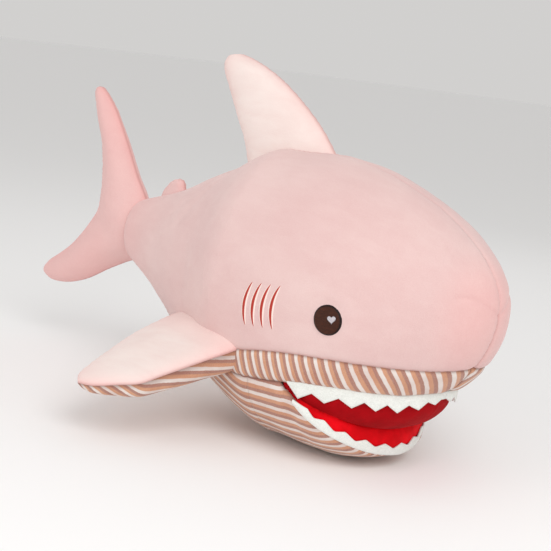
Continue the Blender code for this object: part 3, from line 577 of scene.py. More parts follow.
def trunk_point(x, angle):
    """Point of the section at x; angle 0 is the right flank."""
    x, angle = np.broadcast_arrays(np.asarray(x, float), np.asarray(angle, float))
    width, top, bottom, middle = trunk_section(x)
    upper = np.sin(angle) > 0.0
    power = np.where(upper, UPPER_POWER, lower_power(x))
    across = signed_power(np.cos(angle), 2.0 / power)
    upright = signed_power(np.sin(angle), 2.0 / power)
    z = middle + np.where(upper, top - middle, middle - bottom) * upright
    return np.stack([x, -width * across, np.maximum(z, 0.0)], -1)


def trunk_normal(x, angle):
    """Outward unit normal of the trunk's surface."""
    x, angle = np.broadcast_arrays(np.asarray(x, float), np.asarray(angle, float))
    reach = 0.15
    turn = 0.01
    near = np.minimum(x, NOSE_X - 2.0 * reach)
    along = trunk_point(near + reach, angle) - trunk_point(near - reach, angle)
    around = trunk_point(near, angle + turn) - trunk_point(near, angle - turn)
    normal = np.cross(around, along)
    normal /= np.maximum(np.linalg.norm(normal, axis=-1, keepdims=True), 1e-9)
    middle = trunk_section(near)[-1]
    normal = facing(normal, trunk_point(near, angle) - np.stack([near, 0.0 * near, middle], -1))
    tip = (x > NOSE_X - 1e-3)[..., None]
    return np.where(tip, np.array((1.0, 0.0, 0.0)), normal)


def angle_at_height(x, z):
    """The angle at which the flank is z high, from the belly up to the back."""
    _, top, bottom, middle = trunk_section(x)
    above = np.clip((z - middle) / np.maximum(top - middle, 1e-6), 0.0, 1.0)
    below = np.clip((middle - z) / np.maximum(middle - bottom, 1e-6), 0.0, 1.0)
    return np.where(z >= middle, np.arcsin(above ** (UPPER_POWER / 2.0)),
                    -np.arcsin(below ** (lower_power(x) / 2.0)))


def side_seam_angle(x):
    return angle_at_height(x, limited_cubic(x, SIDE_SEAM_X, SIDE_SEAM_Z))


def lip_seam_angle(x):
    side = limited_cubic(x, SIDE_SEAM_X, SIDE_SEAM_Z)
    lip = limited_cubic(x, LIP_SEAM_X, LIP_SEAM_Z)
    share = (x - LIP_PANEL_POINT_X) / (LIP_PANEL_FULL_X - LIP_PANEL_POINT_X)
    return angle_at_height(x, side + (lip - side) * np.clip(share, 0.0, 1.0))


def head_stations(first, last, count):
    """Places along X that get closer together towards the nose, as on a round head."""
    def turn(x):
        return np.arcsin(np.clip((x - WIDEST_X) / (NOSE_X - WIDEST_X), 0.0, 1.0))
    turns = np.linspace(turn(first), turn(last), count)
    places = WIDEST_X + (NOSE_X - WIDEST_X) * np.sin(turns)
    places[0] = first
    places[-1] = last
    return places


def trunk_stations(first, last, body_count, head_count):
    """Places along X, evenly spread up to the widest one and then as on a round head."""
    body = np.linspace(first, WIDEST_X, body_count, endpoint=False)
    return np.concatenate([body, head_stations(WIDEST_X, last, head_count)])


class Seam:
    """A sewn line that pulls the cloth in beside it."""

    def __init__(self, line, depth, width, pucker=0.0, shade=1.0):
        length = np.linalg.norm(np.diff(line, axis=0), axis=1).sum()
        self.line = smooth_line(line, int(length / SEAM_STEP))
        self.depth = depth
        self.width = width
        self.pucker = pucker
        self.shade = shade
        self.tree = kdtree.KDTree(len(self.line))
        for index, point in enumerate(self.line):
            self.tree.insert(Vector(point), index)
        self.tree.balance()

    def near(self, points, reach):
        """Index, place along the line and distance of each point within reach."""
        flat = points.reshape(-1, 3)
        inside = (flat > self.line.min(0) - reach) & (flat < self.line.max(0) + reach)
        for index in np.flatnonzero(inside.all(1)):
            _, place, distance = self.tree.find(Vector(flat[index]))
            if distance <= reach:
                yield index, place * SEAM_STEP, distance

    def inset(self, points):
        """How far each point is pulled in."""
        inset = np.zeros(points.size // 3)
        for index, along, distance in self.near(points, SEAM_REACH):
            ripple = math.sin(along * 0.9 + 2.0 * math.sin(along * 0.23)) * math.exp(-distance / 5.0)
            inset[index] = (self.depth * math.exp(-(distance / self.width) ** 1.3)
                            + self.pucker * ripple)
        return inset.reshape(points.shape[:-1])

    def painted_shade_share(self, points):
        """Painted seam shade: 1 on the line, falling to 0 within a few millimetres."""
        close = np.zeros(points.size // 3)
        for index, _, distance in self.near(points, SHADE_REACH):
            close[index] = self.shade * math.exp(-(distance / 1.5) ** 2)
        return close.reshape(points.shape[:-1])


def seam_shade(points, seams):
    """How much painted seam shade each point gets, from 0 to 1."""
    return np.max([seam.painted_shade_share(points) for seam in seams], axis=0)


def trunk_seams():
    """All lines that are sewn into the trunk's surface."""
    seams = []

    def add(line, depth, width, pucker=0.0, shade=1.0, flips=((1.0, 1.0, 1.0), MIRROR)):
        for flip in flips:
            seams.append(Seam(np.array(line) * flip, depth, width, pucker, shade))

    middle = ((1.0, 1.0, 1.0),)
    x = trunk_stations(TRUNK_END_X, NOSE_X, 39, 40)
    add(trunk_point(x, BACK), 1.3, 2.8, 0.15, 0.2, middle)
    x = head_stations(LIP_FRONT_X, NOSE_X, 30)
    add(trunk_point(x, KEEL), 1.3, 2.8, 0.15, flips=middle)
    x = trunk_stations(TRUNK_END_X, LIP_PANEL_END_X, 39, 40)
    add(trunk_point(x, side_seam_angle(x)), 1.7, 2.8, 0.25)
    x = trunk_stations(LIP_PANEL_POINT_X, LIP_FRONT_X, 19, 40)
    add(trunk_point(x, lip_seam_angle(x)), 2.6, 3.6, 0.2)
    add(DART, 1.5, 2.4, shade=0.2)
    # Both sides of the dorsal fin's root, and two soft folds behind it.
    x = np.linspace(2.0, 116.0, 40)
    spread = 0.15 * np.sin(math.pi * np.linspace(0.0, 1.0, 40)) ** 0.6
    add(trunk_point(x, BACK - spread), 1.4, 3.5, 0.35, 0.5)
    for first, last, low in ((-10.0, -58.0, 0.95), (6.0, -34.0, 1.05)):
        drop = np.linspace(0.28, low, 20)
        add(trunk_point(np.linspace(first, last, 20), BACK - drop), 1.1, 9.0, shade=0.0)
    # The plush dips around the eye.
    turns = np.linspace(0.0, 2.0 * math.pi, 49)
    x = EYE_X + (EYE_RADIUS + EYE_DIP_WIDTH) * np.cos(turns)
    z = EYE_Z + (EYE_RADIUS * EYE_STRETCH + EYE_DIP_WIDTH) * np.sin(turns)
    add(trunk_point(x, angle_at_height(x, z)), 0.9, 2.2, shade=0.0)
    return seams


SEAMS = trunk_seams()


def plump(points, normals, seams):
    """Moves surface points in at the seams and adds the slight unevenness of a stuffed toy."""
    offset = 1.3 * lumps(points, 75.0, 3.1) + 0.6 * lumps(points, 30.0, 7.7)
    offset += 0.15 * lumps(points, 9.0, 1.3)
    for seam in seams:
        offset -= seam.inset(points)
    return points + normals * offset[..., None]


def trunk_panel(name, x, angle, side, fields):
    """A panel over a grid of places on the trunk, on one side."""
    x, angle = np.broadcast_arrays(x, angle)
    flip = (1.0, side, 1.0)
    points = trunk_point(x, angle) * flip
    normals = trunk_normal(x, angle) * flip
    front = plump(points, normals, SEAMS)
    over_end = np.clip((TRUNK_END_X + TRUNK_ROUNDING - x) / TRUNK_ROUNDING, 0.0, 1.0)
    front -= normals * (TRUNK_END_INSET * (1.0 - np.sqrt(1.0 - over_end ** 2)))[..., None]
    front[..., 2] = np.maximum(front[..., 2], 0.0)
    # The seam attribute holds painted shade along the seams.
    return sheet(name, front, front - normals * CLOTH, dict(fields, seam=seam_shade(points, SEAMS)))


def panel_pair(node, x, low, high, count, fields_of, *finish):
    """The right and left panel between two lines of angles over x."""
    angle = low[:, None] + (high - low)[:, None] * eased(count)
    x = np.broadcast_to(x[:, None], angle.shape)
    fields = fields_of(x, angle)
    for side, word in SIDES:
        made = trunk_panel("plush_" + node + word, x, angle, side, fields)
        sew(made, node + word, *finish, fill=TRUNK_FILL)


def add_upper_skins(material):
    """The two pink halves, sewn together along the back and over the nose."""
    def blushes(x, angle):
        return {"blush": 0.42 * step(x, 262.0, NOSE_X) + 0.28 * step(-x, 60.0, 150.0)}

    x = trunk_stations(TRUNK_END_X, NOSE_X, 130, 110)
    low = side_seam_angle(x)
    low[x >= LIP_PANEL_END_X] = KEEL
    panel_pair("upper_skin_", x, low, np.full(len(x), BACK), 90, blushes,
               material, "pink_plush", "trunk_stuffing")


def lip_stripes(x, angle):
    """Stripe count of points on the lip panel.

    The band is cut on a curve, so its stripes turn and look wider towards the nose."""
    points = trunk_point(x, angle)
    drop = limited_cubic(x, SIDE_SEAM_X, SIDE_SEAM_Z) - points[..., 2]
    places = trunk_stations(LIP_PANEL_POINT_X, LIP_PANEL_END_X, 59, 200)
    seam = trunk_point(places, side_seam_angle(places))
    length = running_length(seam)
    length -= np.interp(LIP_STRIPE_START_X, places, length)
    pitch = LIP_STRIPE_PITCH + 2.9 * step(length, 55.0, 105.0) + 3.0 * step(length, 135.0, 185.0)
    count = np.concatenate([[0.0], np.cumsum(np.diff(length) * 2.0 / (pitch[1:] + pitch[:-1]))])
    count -= np.interp(0.0, length, count)
    bearing = np.arctan2(-seam[:, 1], seam[:, 0] - WIDEST_X)
    around = np.interp(np.arctan2(-points[..., 1], x - WIDEST_X), bearing[::-1], length[::-1])
    near_nose = step(x, 200.0, LIP_FRONT_X)
    along = np.interp(x, places, length) * (1.0 - near_nose) + around * near_nose
    slant = LIP_STRIPE_SLANT + LIP_NOSE_SLANT * near_nose
    lean = slant * drop / np.interp(along, length, pitch)
    return {"stripe": np.interp(along, length, count) + 0.18 - lean}


def add_lip_panels(material):
    """The striped band between the side seam and the upper lip."""
    x = trunk_stations(LIP_PANEL_POINT_X + 0.5, LIP_PANEL_END_X, 40, 120)
    low = lip_seam_angle(x)
    low[x >= LIP_FRONT_X] = KEEL
    panel_pair("lip_panel_", x, low, side_seam_angle(x), 30, lip_stripes,
               material, "striped_cloth")


def girth_stripes(points):
    """Stripe count across rows of points, from the keel outwards."""
    length = running_length(points)
    middle = points.shape[1] // 2
    return (length - length[:, middle:middle + 1]) / STRIPE_PITCH + 0.2


def add_belly_panel(material):
    """The striped underside, from the tail to the seam behind the jaw."""
    x = np.linspace(TRUNK_END_X, JAW_START_X, 130)
    angle = KEEL + (lip_seam_angle(x) - KEEL)[:, None] * -eased(121, -1.0, 1.0, 0.4)
    fields = {"stripe": girth_stripes(trunk_point(x[:, None], angle))}
    made = trunk_panel("plush_belly_panel", x[:, None], angle, 1.0, fields)
    sew(made, "belly_panel", material, "striped_cloth", fill=0.8)


# -------- the lower jaw

# The jaw body and a stretch around the mouth's corner, given to sew as a bend; nothing bends there.
WITH_JAW = ("jaw", (0.122, 0.0, 0.06), (0.160, 0.0, 0.06))
JAW_COLUMNS = 56


def low_lip(turn):
    """Point of the lower lip on the right side; turn 0 is the corner, 90 degrees the tip."""
    turn = np.asarray(turn, float)
    ahead = np.sin(turn)
    aside = LOW_LIP_HALF_WIDTH * np.maximum(np.cos(turn), 0.0) ** 1.1
    aside -= LOW_LIP_TUCK * (1.0 - step(turn, 0.0, 0.5))
    return np.stack([LOW_LIP_START_X + LOW_LIP_REACH * ahead,
                     -aside,
                     LOW_LIP_START_Z - LOW_LIP_DROP * ahead], -1)


def jaw_row(edge, middle, floor, least):
    """Under the jaw from the right edge to the left, at one station.

    Below its edge the jaw bulges to the least half-width."""
    x, y, z = edge
    power = float(lower_power(x))
    lip_share = np.clip((middle - z) / max(middle - floor, 1e-6), 0.0, 1.0)
    start = math.asin(lip_share ** (power / 2.0))
    at_edge = max(math.cos(start), 1e-9) ** (2.0 / power)
    half_width = max(-y / at_edge, least)
    angle = eased(JAW_COLUMNS, start, math.pi / 2.0, 0.3)
    across = half_width * np.maximum(np.cos(angle), 0.0) ** (2.0 / power)
    across -= (half_width * at_edge + y) * (1.0 - np.linspace(0.0, 1.0, JAW_COLUMNS)) ** 4
    drop = (middle - floor) * np.sin(angle) ** (2.0 / power)
    return mirrored(np.stack([np.full(JAW_COLUMNS, x), -across, np.maximum(middle - drop, 0.0)], 1))


def jaw_stripes(points):
    """Stripe count carried straight on from the belly, so that the lower lip cuts across it."""
    angle = np.linspace(KEEL, float(lip_seam_angle(JAW_START_X)) + 0.2, 300)
    section = trunk_point(JAW_START_X, angle)
    bearing = np.arctan2(-section[:, 1], JAW_VIEW_Z - section[:, 2])
    wanted = np.arctan2(np.abs(points[..., 1]), JAW_VIEW_Z - points[..., 2])
    length = np.interp(wanted, bearing, running_length(section))
    return np.sign(points[..., 1]) * length / STRIPE_PITCH + 0.2


def add_jaw_panel(material):
    """The striped outside of the jaw; behind the mouth's corner it joins the trunk."""
    rows = []
    start_floor = float(trunk_section(JAW_START_X)[2])
    for x in np.linspace(JAW_START_X, CORNER_X, 24):
        lowered = float(step(x, JAW_START_X, CORNER_X))
        floor = start_floor * (1.0 - lowered) + JAW_FLOOR_Z * lowered
        least = STATION_HALF_WIDTH[-1] * (1.0 - lowered) + JAW_HALF_WIDTH * lowered
        edge = trunk_point(x, lip_seam_angle(x))
        rows.append(jaw_row(edge, float(trunk_section(x)[-1]), floor, least))
    corner_middle = float(trunk_section(CORNER_X)[-1])
    tip_z = LOW_LIP_START_Z - LOW_LIP_DROP
    for turn in np.linspace(0.0, math.pi / 2.0, 70):
        ahead = math.sin(turn)
        middle = corner_middle + (tip_z - corner_middle) * float(step(ahead, -0.05, 1.0))
        rise = max(ahead - JAW_FLAT_SHARE, 0.0) / (1.0 - JAW_FLAT_SHARE)
        floor = JAW_FLOOR_Z + (tip_z - JAW_FLOOR_Z) * rise ** JAW_TIP_POWER
        least = JAW_HALF_WIDTH * (1.0 - 0.2 * ahead) if ahead < 0.25 else 0.0
        rows.append(jaw_row(low_lip(turn), middle, floor, least))
    points = np.array(rows)
    normals = -grid_normals(points)
    normals[-1] = (0.8, 0.0, -0.6)
    seams = [Seam(points[:, column], 2.6, 3.6, 0.12) for column in (0, -1)]
    front = plump(points, normals, seams)
    front[..., 2] = np.maximum(front[..., 2], 0.0)
    # The seam attribute holds painted shade along the jaw's edge seams.
    fields = {"stripe": jaw_stripes(points), "seam": seam_shade(points, seams)}
    made = sheet("plush_jaw_panel", front, front - normals * CLOTH, fields)
    sew(made, "jaw_panel", material, "striped_cloth", "jaw_stuffing",
        fill=TRUNK_FILL, bends=WITH_JAW)


# -------- the mouth

def upper_lip(turn):
    """Point of the upper lip's edge on the right side; turn 0 is the mouth's corner."""
    x = CORNER_X + (LIP_FRONT_X - CORNER_X) * np.sin(turn)
    return trunk_point(x, lip_seam_angle(x))


def outward_of(points):
    """Horizontal unit directions from the middle of the mouth to these points."""
    outward = points - (CORNER_X, 0.0, 0.0)
    outward[..., 2] = 0.0
    return outward / np.maximum(np.linalg.norm(outward, axis=-1, keepdims=True), 1e-9)


def add_mouth_lining(material):
    """The red bag of the mouth: an upper and a lower pillow that meet in a crease."""
    rows = []
    for turn in np.linspace(0.0, math.pi / 2.0, 90):
        ahead = math.sin(turn)
        aside = math.cos(turn)
        upper = upper_lip(turn)
        away = outward_of(upper)
        upper = upper - away * 4.4 + (0.0, 0.0, 2.5)
        crease = np.array((150.0 + 66.0 * ahead, -80.0 * aside ** 1.05, 62.0 - 24.0 * ahead))
        lower = low_lip(turn)
        lower = lower - outward_of(lower) * 3.4 - (0.0, 0.0, 1.5)
        under = (away * 0.63 - (0.0, 0.0, 0.776)) * np.linalg.norm(upper - crease)
        over = (away * 0.45 + (0.0, 0.0, 0.89)) * np.linalg.norm(crease - lower)
        roof = [upper + (crease - upper) * share + under * bulge
                for share, bulge in ((0.0, 0.0), (0.30, 0.15), (0.62, 0.17), (0.88, 0.09), (1.0, 0.0))]
        tongue = [crease + (lower - crease) * share + over * bulge
                  for share, bulge in ((0.0, 0.0), (0.14, 0.14), (0.50, 0.27), (0.84, 0.20))]
        lift = (0.0, 0.0, 0.10 * np.linalg.norm(crease - lower))
        tongue += [crease + (lower - crease) * 0.96 + lift, lower]
        rows.append(np.concatenate([smooth_line(roof, 36), smooth_line(tongue, 22)[1:]]))
    points = mirrored(np.array(rows))
    normals = facing(grid_normals(points), points - (150.0, 0.0, 80.0))
    dents = 0.8 * lumps(points, 22.0, 5.0) + 0.25 * lumps(points, 7.0, 2.0)
    front = points + normals * dents[..., None]
    place = np.broadcast_to(np.linspace(0.0, 1.0, points.shape[1]), points.shape[:2])
    # Painted shade over the downward-facing roof, with a darker line at the crease.
    shade = 0.64 * (1.0 - step(place, 0.52, 0.66)) + 0.45 * np.exp(-((place - 0.62) / 0.02) ** 2)
    made = sheet("mouth_lining", front, front - normals * CLOTH, {"shade": shade})
    sew(made, "palate_lining", material, "red_lining", "tongue_lining", fill=0.5,
        bends=("jaw", (0.1773, 0.0, 0.1014), (0.1518, 0.0, 0.0643)))


UPPER_TIPS = (18.0, 43.0, 68.0, 89.0, 108.0, 127.0, 145.0, 163.0)   # along half the lip
UPPER_VALLEY = 7.0
UPPER_TIP = 13.5
UPPER_START = 6.0
UPPER_ROOT = 3.0
LOWER_PITCH = 22.0
LOWER_COUNT = 6
LOWER_VALLEY = 3.8
LOWER_TIP = 8.4
LOWER_ROOT = -2.5


def tooth_height(length, tips, valley, tip):
    """Height of a zigzag edge at each length along a lip."""
    tips = np.array(tips)
    valleys = (tips[1:] + tips[:-1]) / 2.0
    places = np.sort(np.concatenate([tips, valleys]))
    heights = np.where(np.isin(places, tips), tip, valley)
    return np.interp(length, places, heights)


def add_teeth(node, half, root, teeth, lean, inset, bulge, material, bends):
    """A felt strip along a lip, from its right half and the heights of its teeth.

    Heights are over the lip line; lean moves the free edge out."""
    line = mirrored(half)
    base = line - outward_of(line) * inset
    outward = outward_of(base)
    tips = mirrored(teeth, 1.0)
    lean = mirrored(lean, 1.0)
    front = []
    for share in np.linspace(0.0, 1.0, 9):
        height = root + (tips - root) * share
        aside = lean * share + bulge * np.sin(math.pi * share)
        front.append(base + outward * aside[:, None] + np.stack([0 * height, 0 * height, height], 1))
    front = np.swapaxes(np.array(front), 0, 1)
    front += outward[:, None, :] * (0.35 * lumps(front, 12.0, 9.0))[..., None]
    made = sheet("felt_" + node, front, front - outward[:, None, :] * FELT, {})
    sew(made, node, material, "white_felt", bends=bends)


def add_upper_teeth(material):
    """White felt teeth that hang behind the upper lip, shorter towards the nose."""
    turns = np.arcsin(np.clip(np.linspace(0.05, 1.0, 700), 0.0, 1.0))
    half = upper_lip(turns)
    whole = running_length(upper_lip(np.linspace(0.0, math.pi / 2.0, 400)))[-1]
    length = whole - running_length(half[::-1])[::-1]
    depth = tooth_height(length, UPPER_TIPS, UPPER_VALLEY, UPPER_TIP)
    depth *= 1.0 - 0.48 * step(length, UPPER_TIPS[4], UPPER_TIPS[-1])
    depth = np.minimum(depth, (length - UPPER_START) * 1.1)
    lean = -0.8 - 1.2 * step(length, 112.0, 160.0)
    add_teeth("upper_teeth", half, UPPER_ROOT, -depth, lean, 1.4, 0.6,
              material, None)


def add_lower_teeth(material):
    """The white felt strip with rounded teeth that stands inside the lower lip."""
    half = low_lip(np.linspace(0.15, math.pi / 2.0, 600))
    length = running_length(half)
    tips = length[-1] - LOWER_PITCH * np.arange(LOWER_COUNT)[::-1]
    height = tooth_height(length, tips, LOWER_VALLEY, LOWER_TIP)
    rounded = np.convolve(np.pad(height, 8, mode="edge"), np.ones(17) / 17.0, mode="valid")
    height = np.minimum(rounded, 1.5 + length * 0.30)
    add_teeth("lower_teeth", half, LOWER_ROOT, height, np.full(len(half), 0.6), 1.2, 0.5,
              material, WITH_JAW)


# -------- eyes and gill slits

def on_flank(x, z, side, proud):
    """Points over the sewn flank at (x, z), standing proud of it."""
    angle = angle_at_height(x, z)
    flip = (1.0, side, 1.0)
    points = trunk_point(x, angle) * flip
    normals = trunk_normal(x, angle) * flip
    return plump(points, normals, SEAMS) + normals * np.asarray(proud)[..., None]


def add_disc_patch(name, outline, side, height, rounding, fields):
    """An embroidered patch: rings from its middle to its edge, rounded down to the plush."""
    centre = outline.mean(0)
    shares = np.concatenate([np.linspace(0.0, 0.8, 12), np.linspace(0.84, 1.0, 7)])
    places = centre + (outline - centre)[None] * shares[:, None, None]
    proud = height * (1.0 - np.clip((shares - rounding) / (1.0 - rounding), 0.0, 1.0) ** 2.5)
    proud = np.broadcast_to(proud[:, None], places.shape[:2]) - 0.1
    x = places[..., 0]
    z = places[..., 1]
    rows, columns = x.shape
    edge = [rows * columns - 1 - column for column in range(columns)]
    return shell(name, on_flank(x, z, side, proud), on_flank(x, z, side, np.full(x.shape, PATCH_BACK)),
                 grid_faces(rows, columns, wrap=True), edge,
                 {key: make(x, z) for key, make in fields.items()})


def add_eyes(brown, grey):
    """A brown disc on each flank, with a small grey heart as its highlight."""
    turns = np.linspace(0.0, 2.0 * math.pi, 72, endpoint=False)
    circle = np.stack([EYE_X + EYE_RADIUS * np.cos(turns),
                       EYE_Z + EYE_STRETCH * EYE_RADIUS * np.sin(turns)], 1)
    across = np.sin(turns) ** 3
    upright = (13 * np.cos(turns) - 5 * np.cos(2 * turns) - 2 * np.cos(3 * turns)
               - np.cos(4 * turns)) / 16.0
    lean = math.sin(HEART_TURN)
    heart = np.stack([EYE_X + HEART_AHEAD + HEART_SIZE * (across - lean * upright),
                      EYE_Z + HEART_LIFT + HEART_SIZE * (upright + lean * across)], 1)
    fields = {
        "stitch": lambda x, z: (z + 0.25 * x) / 0.8,
        "border": lambda x, z: np.hypot((x - EYE_X) / EYE_RADIUS,
                                        (z - EYE_Z) / EYE_RADIUS / EYE_STRETCH)}
    for side, word in SIDES:
        patch = add_disc_patch("thread_eye_" + word, circle, side, 1.5, 0.75, fields)
        sew(patch, "eye_patch_" + word, brown, "eye_embroidery")
        shine = add_disc_patch("thread_heart_" + word, heart, side, 2.3, 0.7, fields)
        sew(shine, "eye_heart_" + word, grey, "heart_embroidery")


def add_gill_slits(material):
    """Tapering arcs of red satin stitch with a pale edge."""
    along = np.linspace(-1.0, 1.0, 90)[:, None]
    across = np.linspace(-1.0, 1.0, 15)[None, :]
    width = GILL_HALF_WIDTH * np.sqrt(np.maximum(1.0 - np.abs(along) ** 1.6, 0.0)) + 0.05
    proud = 0.75 * (1.0 - np.abs(across) ** 2.4) * (1.0 - along ** 8) - 0.05
    border = np.maximum(-1.1 * across, 0.85 * across) + 0.0 * along
    for index in range(GILL_COUNT):
        middle = GILL_FIRST_X + GILL_PITCH * index + GILL_BOW * along ** 2 + GILL_SLANT * along
        x = middle + width * across
        z = GILL_MIDDLE_Z + GILL_RISE * index + GILL_HALF_HEIGHT * along + 0.0 * across
        fields = {"border": border, "stitch": z / 0.7}
        for side, word in SIDES:
            front = on_flank(x, z, side, proud)
            back = on_flank(x, z, side, np.full(x.shape, PATCH_BACK))
            node = "gill_slit_{}_{}".format(word, index + 1)
            sew(sheet("thread_" + node, front, back, fields), node, material, "gill_embroidery")


# -------- fins

class Fin:
    """A stuffed fin between two outlines in its own plane: a forward, b outward, c across."""

    def __init__(self, origin, forward, outward, half_thickness):
        self.origin = np.array(origin, float)
        self.a = np.array(forward, float) / np.linalg.norm(forward)
        outward = np.array(outward, float) - self.a * (np.array(outward, float) @ self.a)
        self.b = outward / np.linalg.norm(outward)
        self.c = np.cross(self.a, self.b)
        self.half_thickness = half_thickness

    def face(self, lead, trail, side, rows=90, columns=60, tip_power=3.0, depth=1.0, skew=1.0):
        """Points of one face, and their a, b places; a skew below 1 is fuller at the front."""
        starts = smooth_line(lead, rows)
        stops = smooth_line(trail, rows)
        span = np.linspace(0.0, 1.0, rows)
        depth = depth * self.half_thickness * np.maximum(1.0 - span ** tip_power, 0.0) ** 0.6
        share = eased(columns, 0.0, 1.0, 0.8)
        flat = starts[:, None] + (stops - starts)[:, None] * share[None, :, None]
        profile = (1.0 - np.abs(2.0 * share ** skew - 1.0) ** 2.4) ** 0.6
        through = side * depth[:, None] * profile[None, :]
        points = (self.origin + flat[..., :1] * self.a + flat[..., 1:] * self.b
                  + through[..., None] * self.c)
        return points, flat


def fin_panel(node, stuffing, points, away, fields, material, slot, bends):
    """One skin of a fin, drawn in and puckered at the rim, and sewn on."""
    normals = grid_normals(points)
    normals *= np.where((normals @ away).mean() < 0.0, -1.0, 1.0)
    normals[-1] = normals[-2]
    along = running_length(points[:, 0])[:, None]
    from_lead = running_length(points)
    from_edge = np.minimum(from_lead, from_lead[:, -1:] - from_lead)
    ripple = np.sin(along * 0.75 + 2.2 * np.sin(along * 0.19))
    offset = 0.35 * ripple * np.exp(-from_edge / 7.0) * step(from_edge, 0.0, 2.5)
    offset += 0.8 * lumps(points, 38.0, 4.0) * step(from_edge, 0.0, 14.0)
    offset += 0.25 * lumps(points, 13.0, 6.0) * step(from_edge, 0.0, 6.0)
    front = points + normals * offset[..., None]
    rim = 0.5 * np.exp(-from_edge / 6.0)
    # The seam attribute holds painted shade along the rim's seam.
    fields = dict(fields, seam=np.exp(-(from_edge / 1.8) ** 2), blush=fields["blush"] + rim)
    made = sheet("plush_" + node.replace("_skin", ""), front, front - normals * CLOTH, fields)
    sew(made, node, material, slot, stuffing, fill=FIN_FILL, bends=bends)


def add_dorsal_fin(material):
    """The tall fin on the back, with a pinker tip and rear edge."""
    fin = Fin((0.0, 0.0, 0.0), (1.0, 0.0, 0.0), (0.0, 0.0, 1.0), 15.0)
    lead = [(118, 236), (108, 260), (86, 285), (61, 305), (33, 323), (5, 336), (-22, 344), (-36, 344)]
    trail = [(4, 206), (-1, 236), (-9, 261), (-24, 287), (-38, 311), (-48, 329), (-46, 340),
             (-36, 344)]
    bends = ("dorsal_fin", (0.0476, 0.0, 0.258), (0.0410, 0.0, 0.2935))
    for side, word in SIDES:
        points, flat = fin.face(lead, trail, side, tip_power=4.0)
        blush = 0.25 * step(-points[..., 0], 10.0, 60.0)
        blush += 0.30 * step(flat[..., 0] * 0.5 + flat[..., 1], 352.0, 372.0)
        fin_panel("dorsal_skin_" + word, "dorsal_fin_stuffing", points, fin.c * side,
                  {"blush": blush}, material, "pale_pink_plush", bends)


def add_second_dorsal_fin(material):
    fin = Fin((0.0, 0.0, 0.0), (1.0, 0.0, 0.0), (0.0, 0.0, 1.0), 7.5)
    lead = [(-82, 178), (-84, 196), (-86, 205), (-89, 210), (-95, 212)]
    trail = [(-126, 172), (-120, 188), (-114, 199), (-105, 208), (-95, 212)]
    bends = ("second_dorsal_fin", (-0.0975, 0.0, 0.199), (-0.1010, 0.0, 0.2085))
    for side, word in SIDES:
        points, flat = fin.face(lead, trail, side, rows=40, columns=30)
        fin_panel("second_dorsal_skin_" + word, "second_dorsal_stuffing", points, fin.c * side,
                  {"blush": 0.05 + 0.0 * flat[..., 0]}, material, "pink_plush", bends)


PECTORAL_ORIGIN = (38.5, -80.5, 89.0)
PECTORAL_FORWARD = (0.965, -0.261, -0.014)
PECTORAL_OUTWARD = (-0.251, -0.912, -0.323)
PECTORAL_BEND = (4.0, 40.0)     # distances from the origin given to sew as a bend's start and end; nothing bends there


def add_pectoral_fins(cream, stripes):
    lead = [(62, -26), (64, 3), (61, 35), (58, 71), (56, 93), (42, 108), (25, 124), (8, 131)]
    trail = [(-58, -26), (-58, 2), (-55, 22), (-48, 48), (-37, 72), (-22, 100), (-8, 122), (8, 131)]
    fin = Fin(PECTORAL_ORIGIN, PECTORAL_FORWARD, PECTORAL_OUTWARD, 20.0)
    start, end = [np.array(PECTORAL_ORIGIN) + np.array(PECTORAL_OUTWARD) * reach
                  for reach in PECTORAL_BEND]
    for side, word in SIDES:
        flip = np.array((1.0, side, 1.0))
        bends = ("pectoral_" + word, tuple(start * flip * MM), tuple(end * flip * MM))
        for down, ending, material, slot, depth, skew, tip_power in (
                (-1.0, "_top", cream, "pale_pink_plush", 0.60, 0.8, 2.6),
                (1.0, "_under", stripes, "striped_cloth", 1.35, 0.6, 1.7)):
            points, flat = fin.face(lead, trail, down, tip_power=tip_power, depth=depth, skew=skew)
            count = (flat[:, :1, 0] - running_length(points) - 0.25 * flat[..., 1]) / STRIPE_PITCH
            blush = 0.2 * step(flat[..., 1], 90.0, 135.0) + 0.26 * step(-flat[..., 1], -44.0, -8.0)
            fin_panel("pectoral_" + word + ending, "pectoral_" + word + "_stuffing", points * flip,
                      fin.c * flip * down, {"stripe": count, "blush": blush}, material, slot, bends)


TAIL_HALF_THICKNESS = 20.0


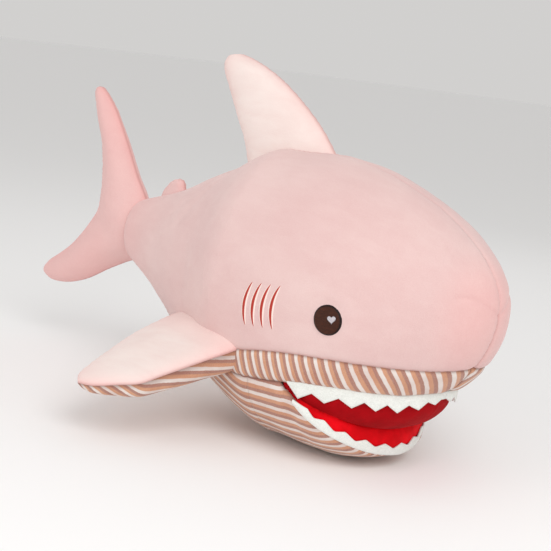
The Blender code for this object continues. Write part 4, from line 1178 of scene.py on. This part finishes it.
def add_tail_fin(material):
    front_edge = [(-299, 78), (-297, 71), (-288, 67), (-272, 67), (-250, 71), (-222, 81),
                  (-190, 98), (-163, 111), (-143, 120), (-136, 136), (-134, 152), (-136, 168),
                  (-143, 184), (-160, 206), (-182, 240), (-203, 269), (-218, 284), (-228, 291),
                  (-234, 292)]
    back_edge = [(-299, 78), (-297, 84), (-290, 90), (-276, 99), (-257, 113), (-239, 131),
                 (-226, 147), (-219, 157), (-216, 167), (-215, 177), (-215, 187), (-216, 199),
                 (-218, 215), (-223, 238), (-233, 261), (-239, 277), (-241, 284), (-240, 289),
                 (-234, 292)]
    rows = 150
    columns = 60
    starts = smooth_line(front_edge, rows)
    stops = smooth_line(back_edge, rows)
    span = np.linspace(-1.0, 1.0, rows)
    depth = TAIL_HALF_THICKNESS * np.maximum(1.0 - np.abs(span) ** 2.0, 0.0) ** 0.5
    depth *= 0.8 + 0.25 * np.exp(-((starts[:, 1] - 150.0) / 34.0) ** 2)
    share = eased(columns, 0.0, 1.0, 0.8)
    flat = starts[:, None] + (stops - starts)[:, None] * share[None, :, None]
    profile = np.sin(math.pi * share ** 0.85) ** 0.8
    through = depth[:, None] * profile[None, :]
    fields = {"blush": 0.30 + 0.12 * step(-flat[..., 0], 160.0, 200.0)}
    bends = ("tail_fin", (-0.148, 0.0, 0.152), (-0.186, 0.0, 0.152))
    for side, word in SIDES:
        points = np.stack([flat[..., 0], -side * through, flat[..., 1]], -1)
        fin_panel("tail_skin_" + word, "tail_stuffing", points, np.array((0.0, -side, 0.0)),
                  fields, material, "pink_plush", bends)


# -------- the whole toy

def main():
    add_camera()
    add_studio()
    pink = plush("pink_plush", PINK, PINK_DEEP, PINK_BLUSH, PINK_SEAM_SHADE)
    cream = plush("pale_pink_plush", CREAM_PINK, CREAM_DEEP, PINK_BLUSH, PINK_SEAM_SHADE)
    stripes = striped("striped_cloth")
    white = felt("white_felt")
    add_upper_skins(pink)
    add_lip_panels(stripes)
    add_belly_panel(stripes)
    add_jaw_panel(stripes)
    add_mouth_lining(lining("red_lining"))
    add_upper_teeth(white)
    add_lower_teeth(white)
    add_eyes(embroidery("eye_embroidery", linear(28, 12, 6), linear(84, 41, 23),
                        linear(24, 12, 10), (0.84, 0.93)),
             embroidery("heart_embroidery", linear(168, 160, 166), linear(216, 212, 216)))
    add_gill_slits(embroidery("gill_embroidery", linear(158, 36, 28), linear(200, 70, 54),
                              linear(246, 226, 218)))
    add_dorsal_fin(cream)
    add_second_dorsal_fin(pink)
    add_pectoral_fins(cream, stripes)
    add_tail_fin(pink)


main()
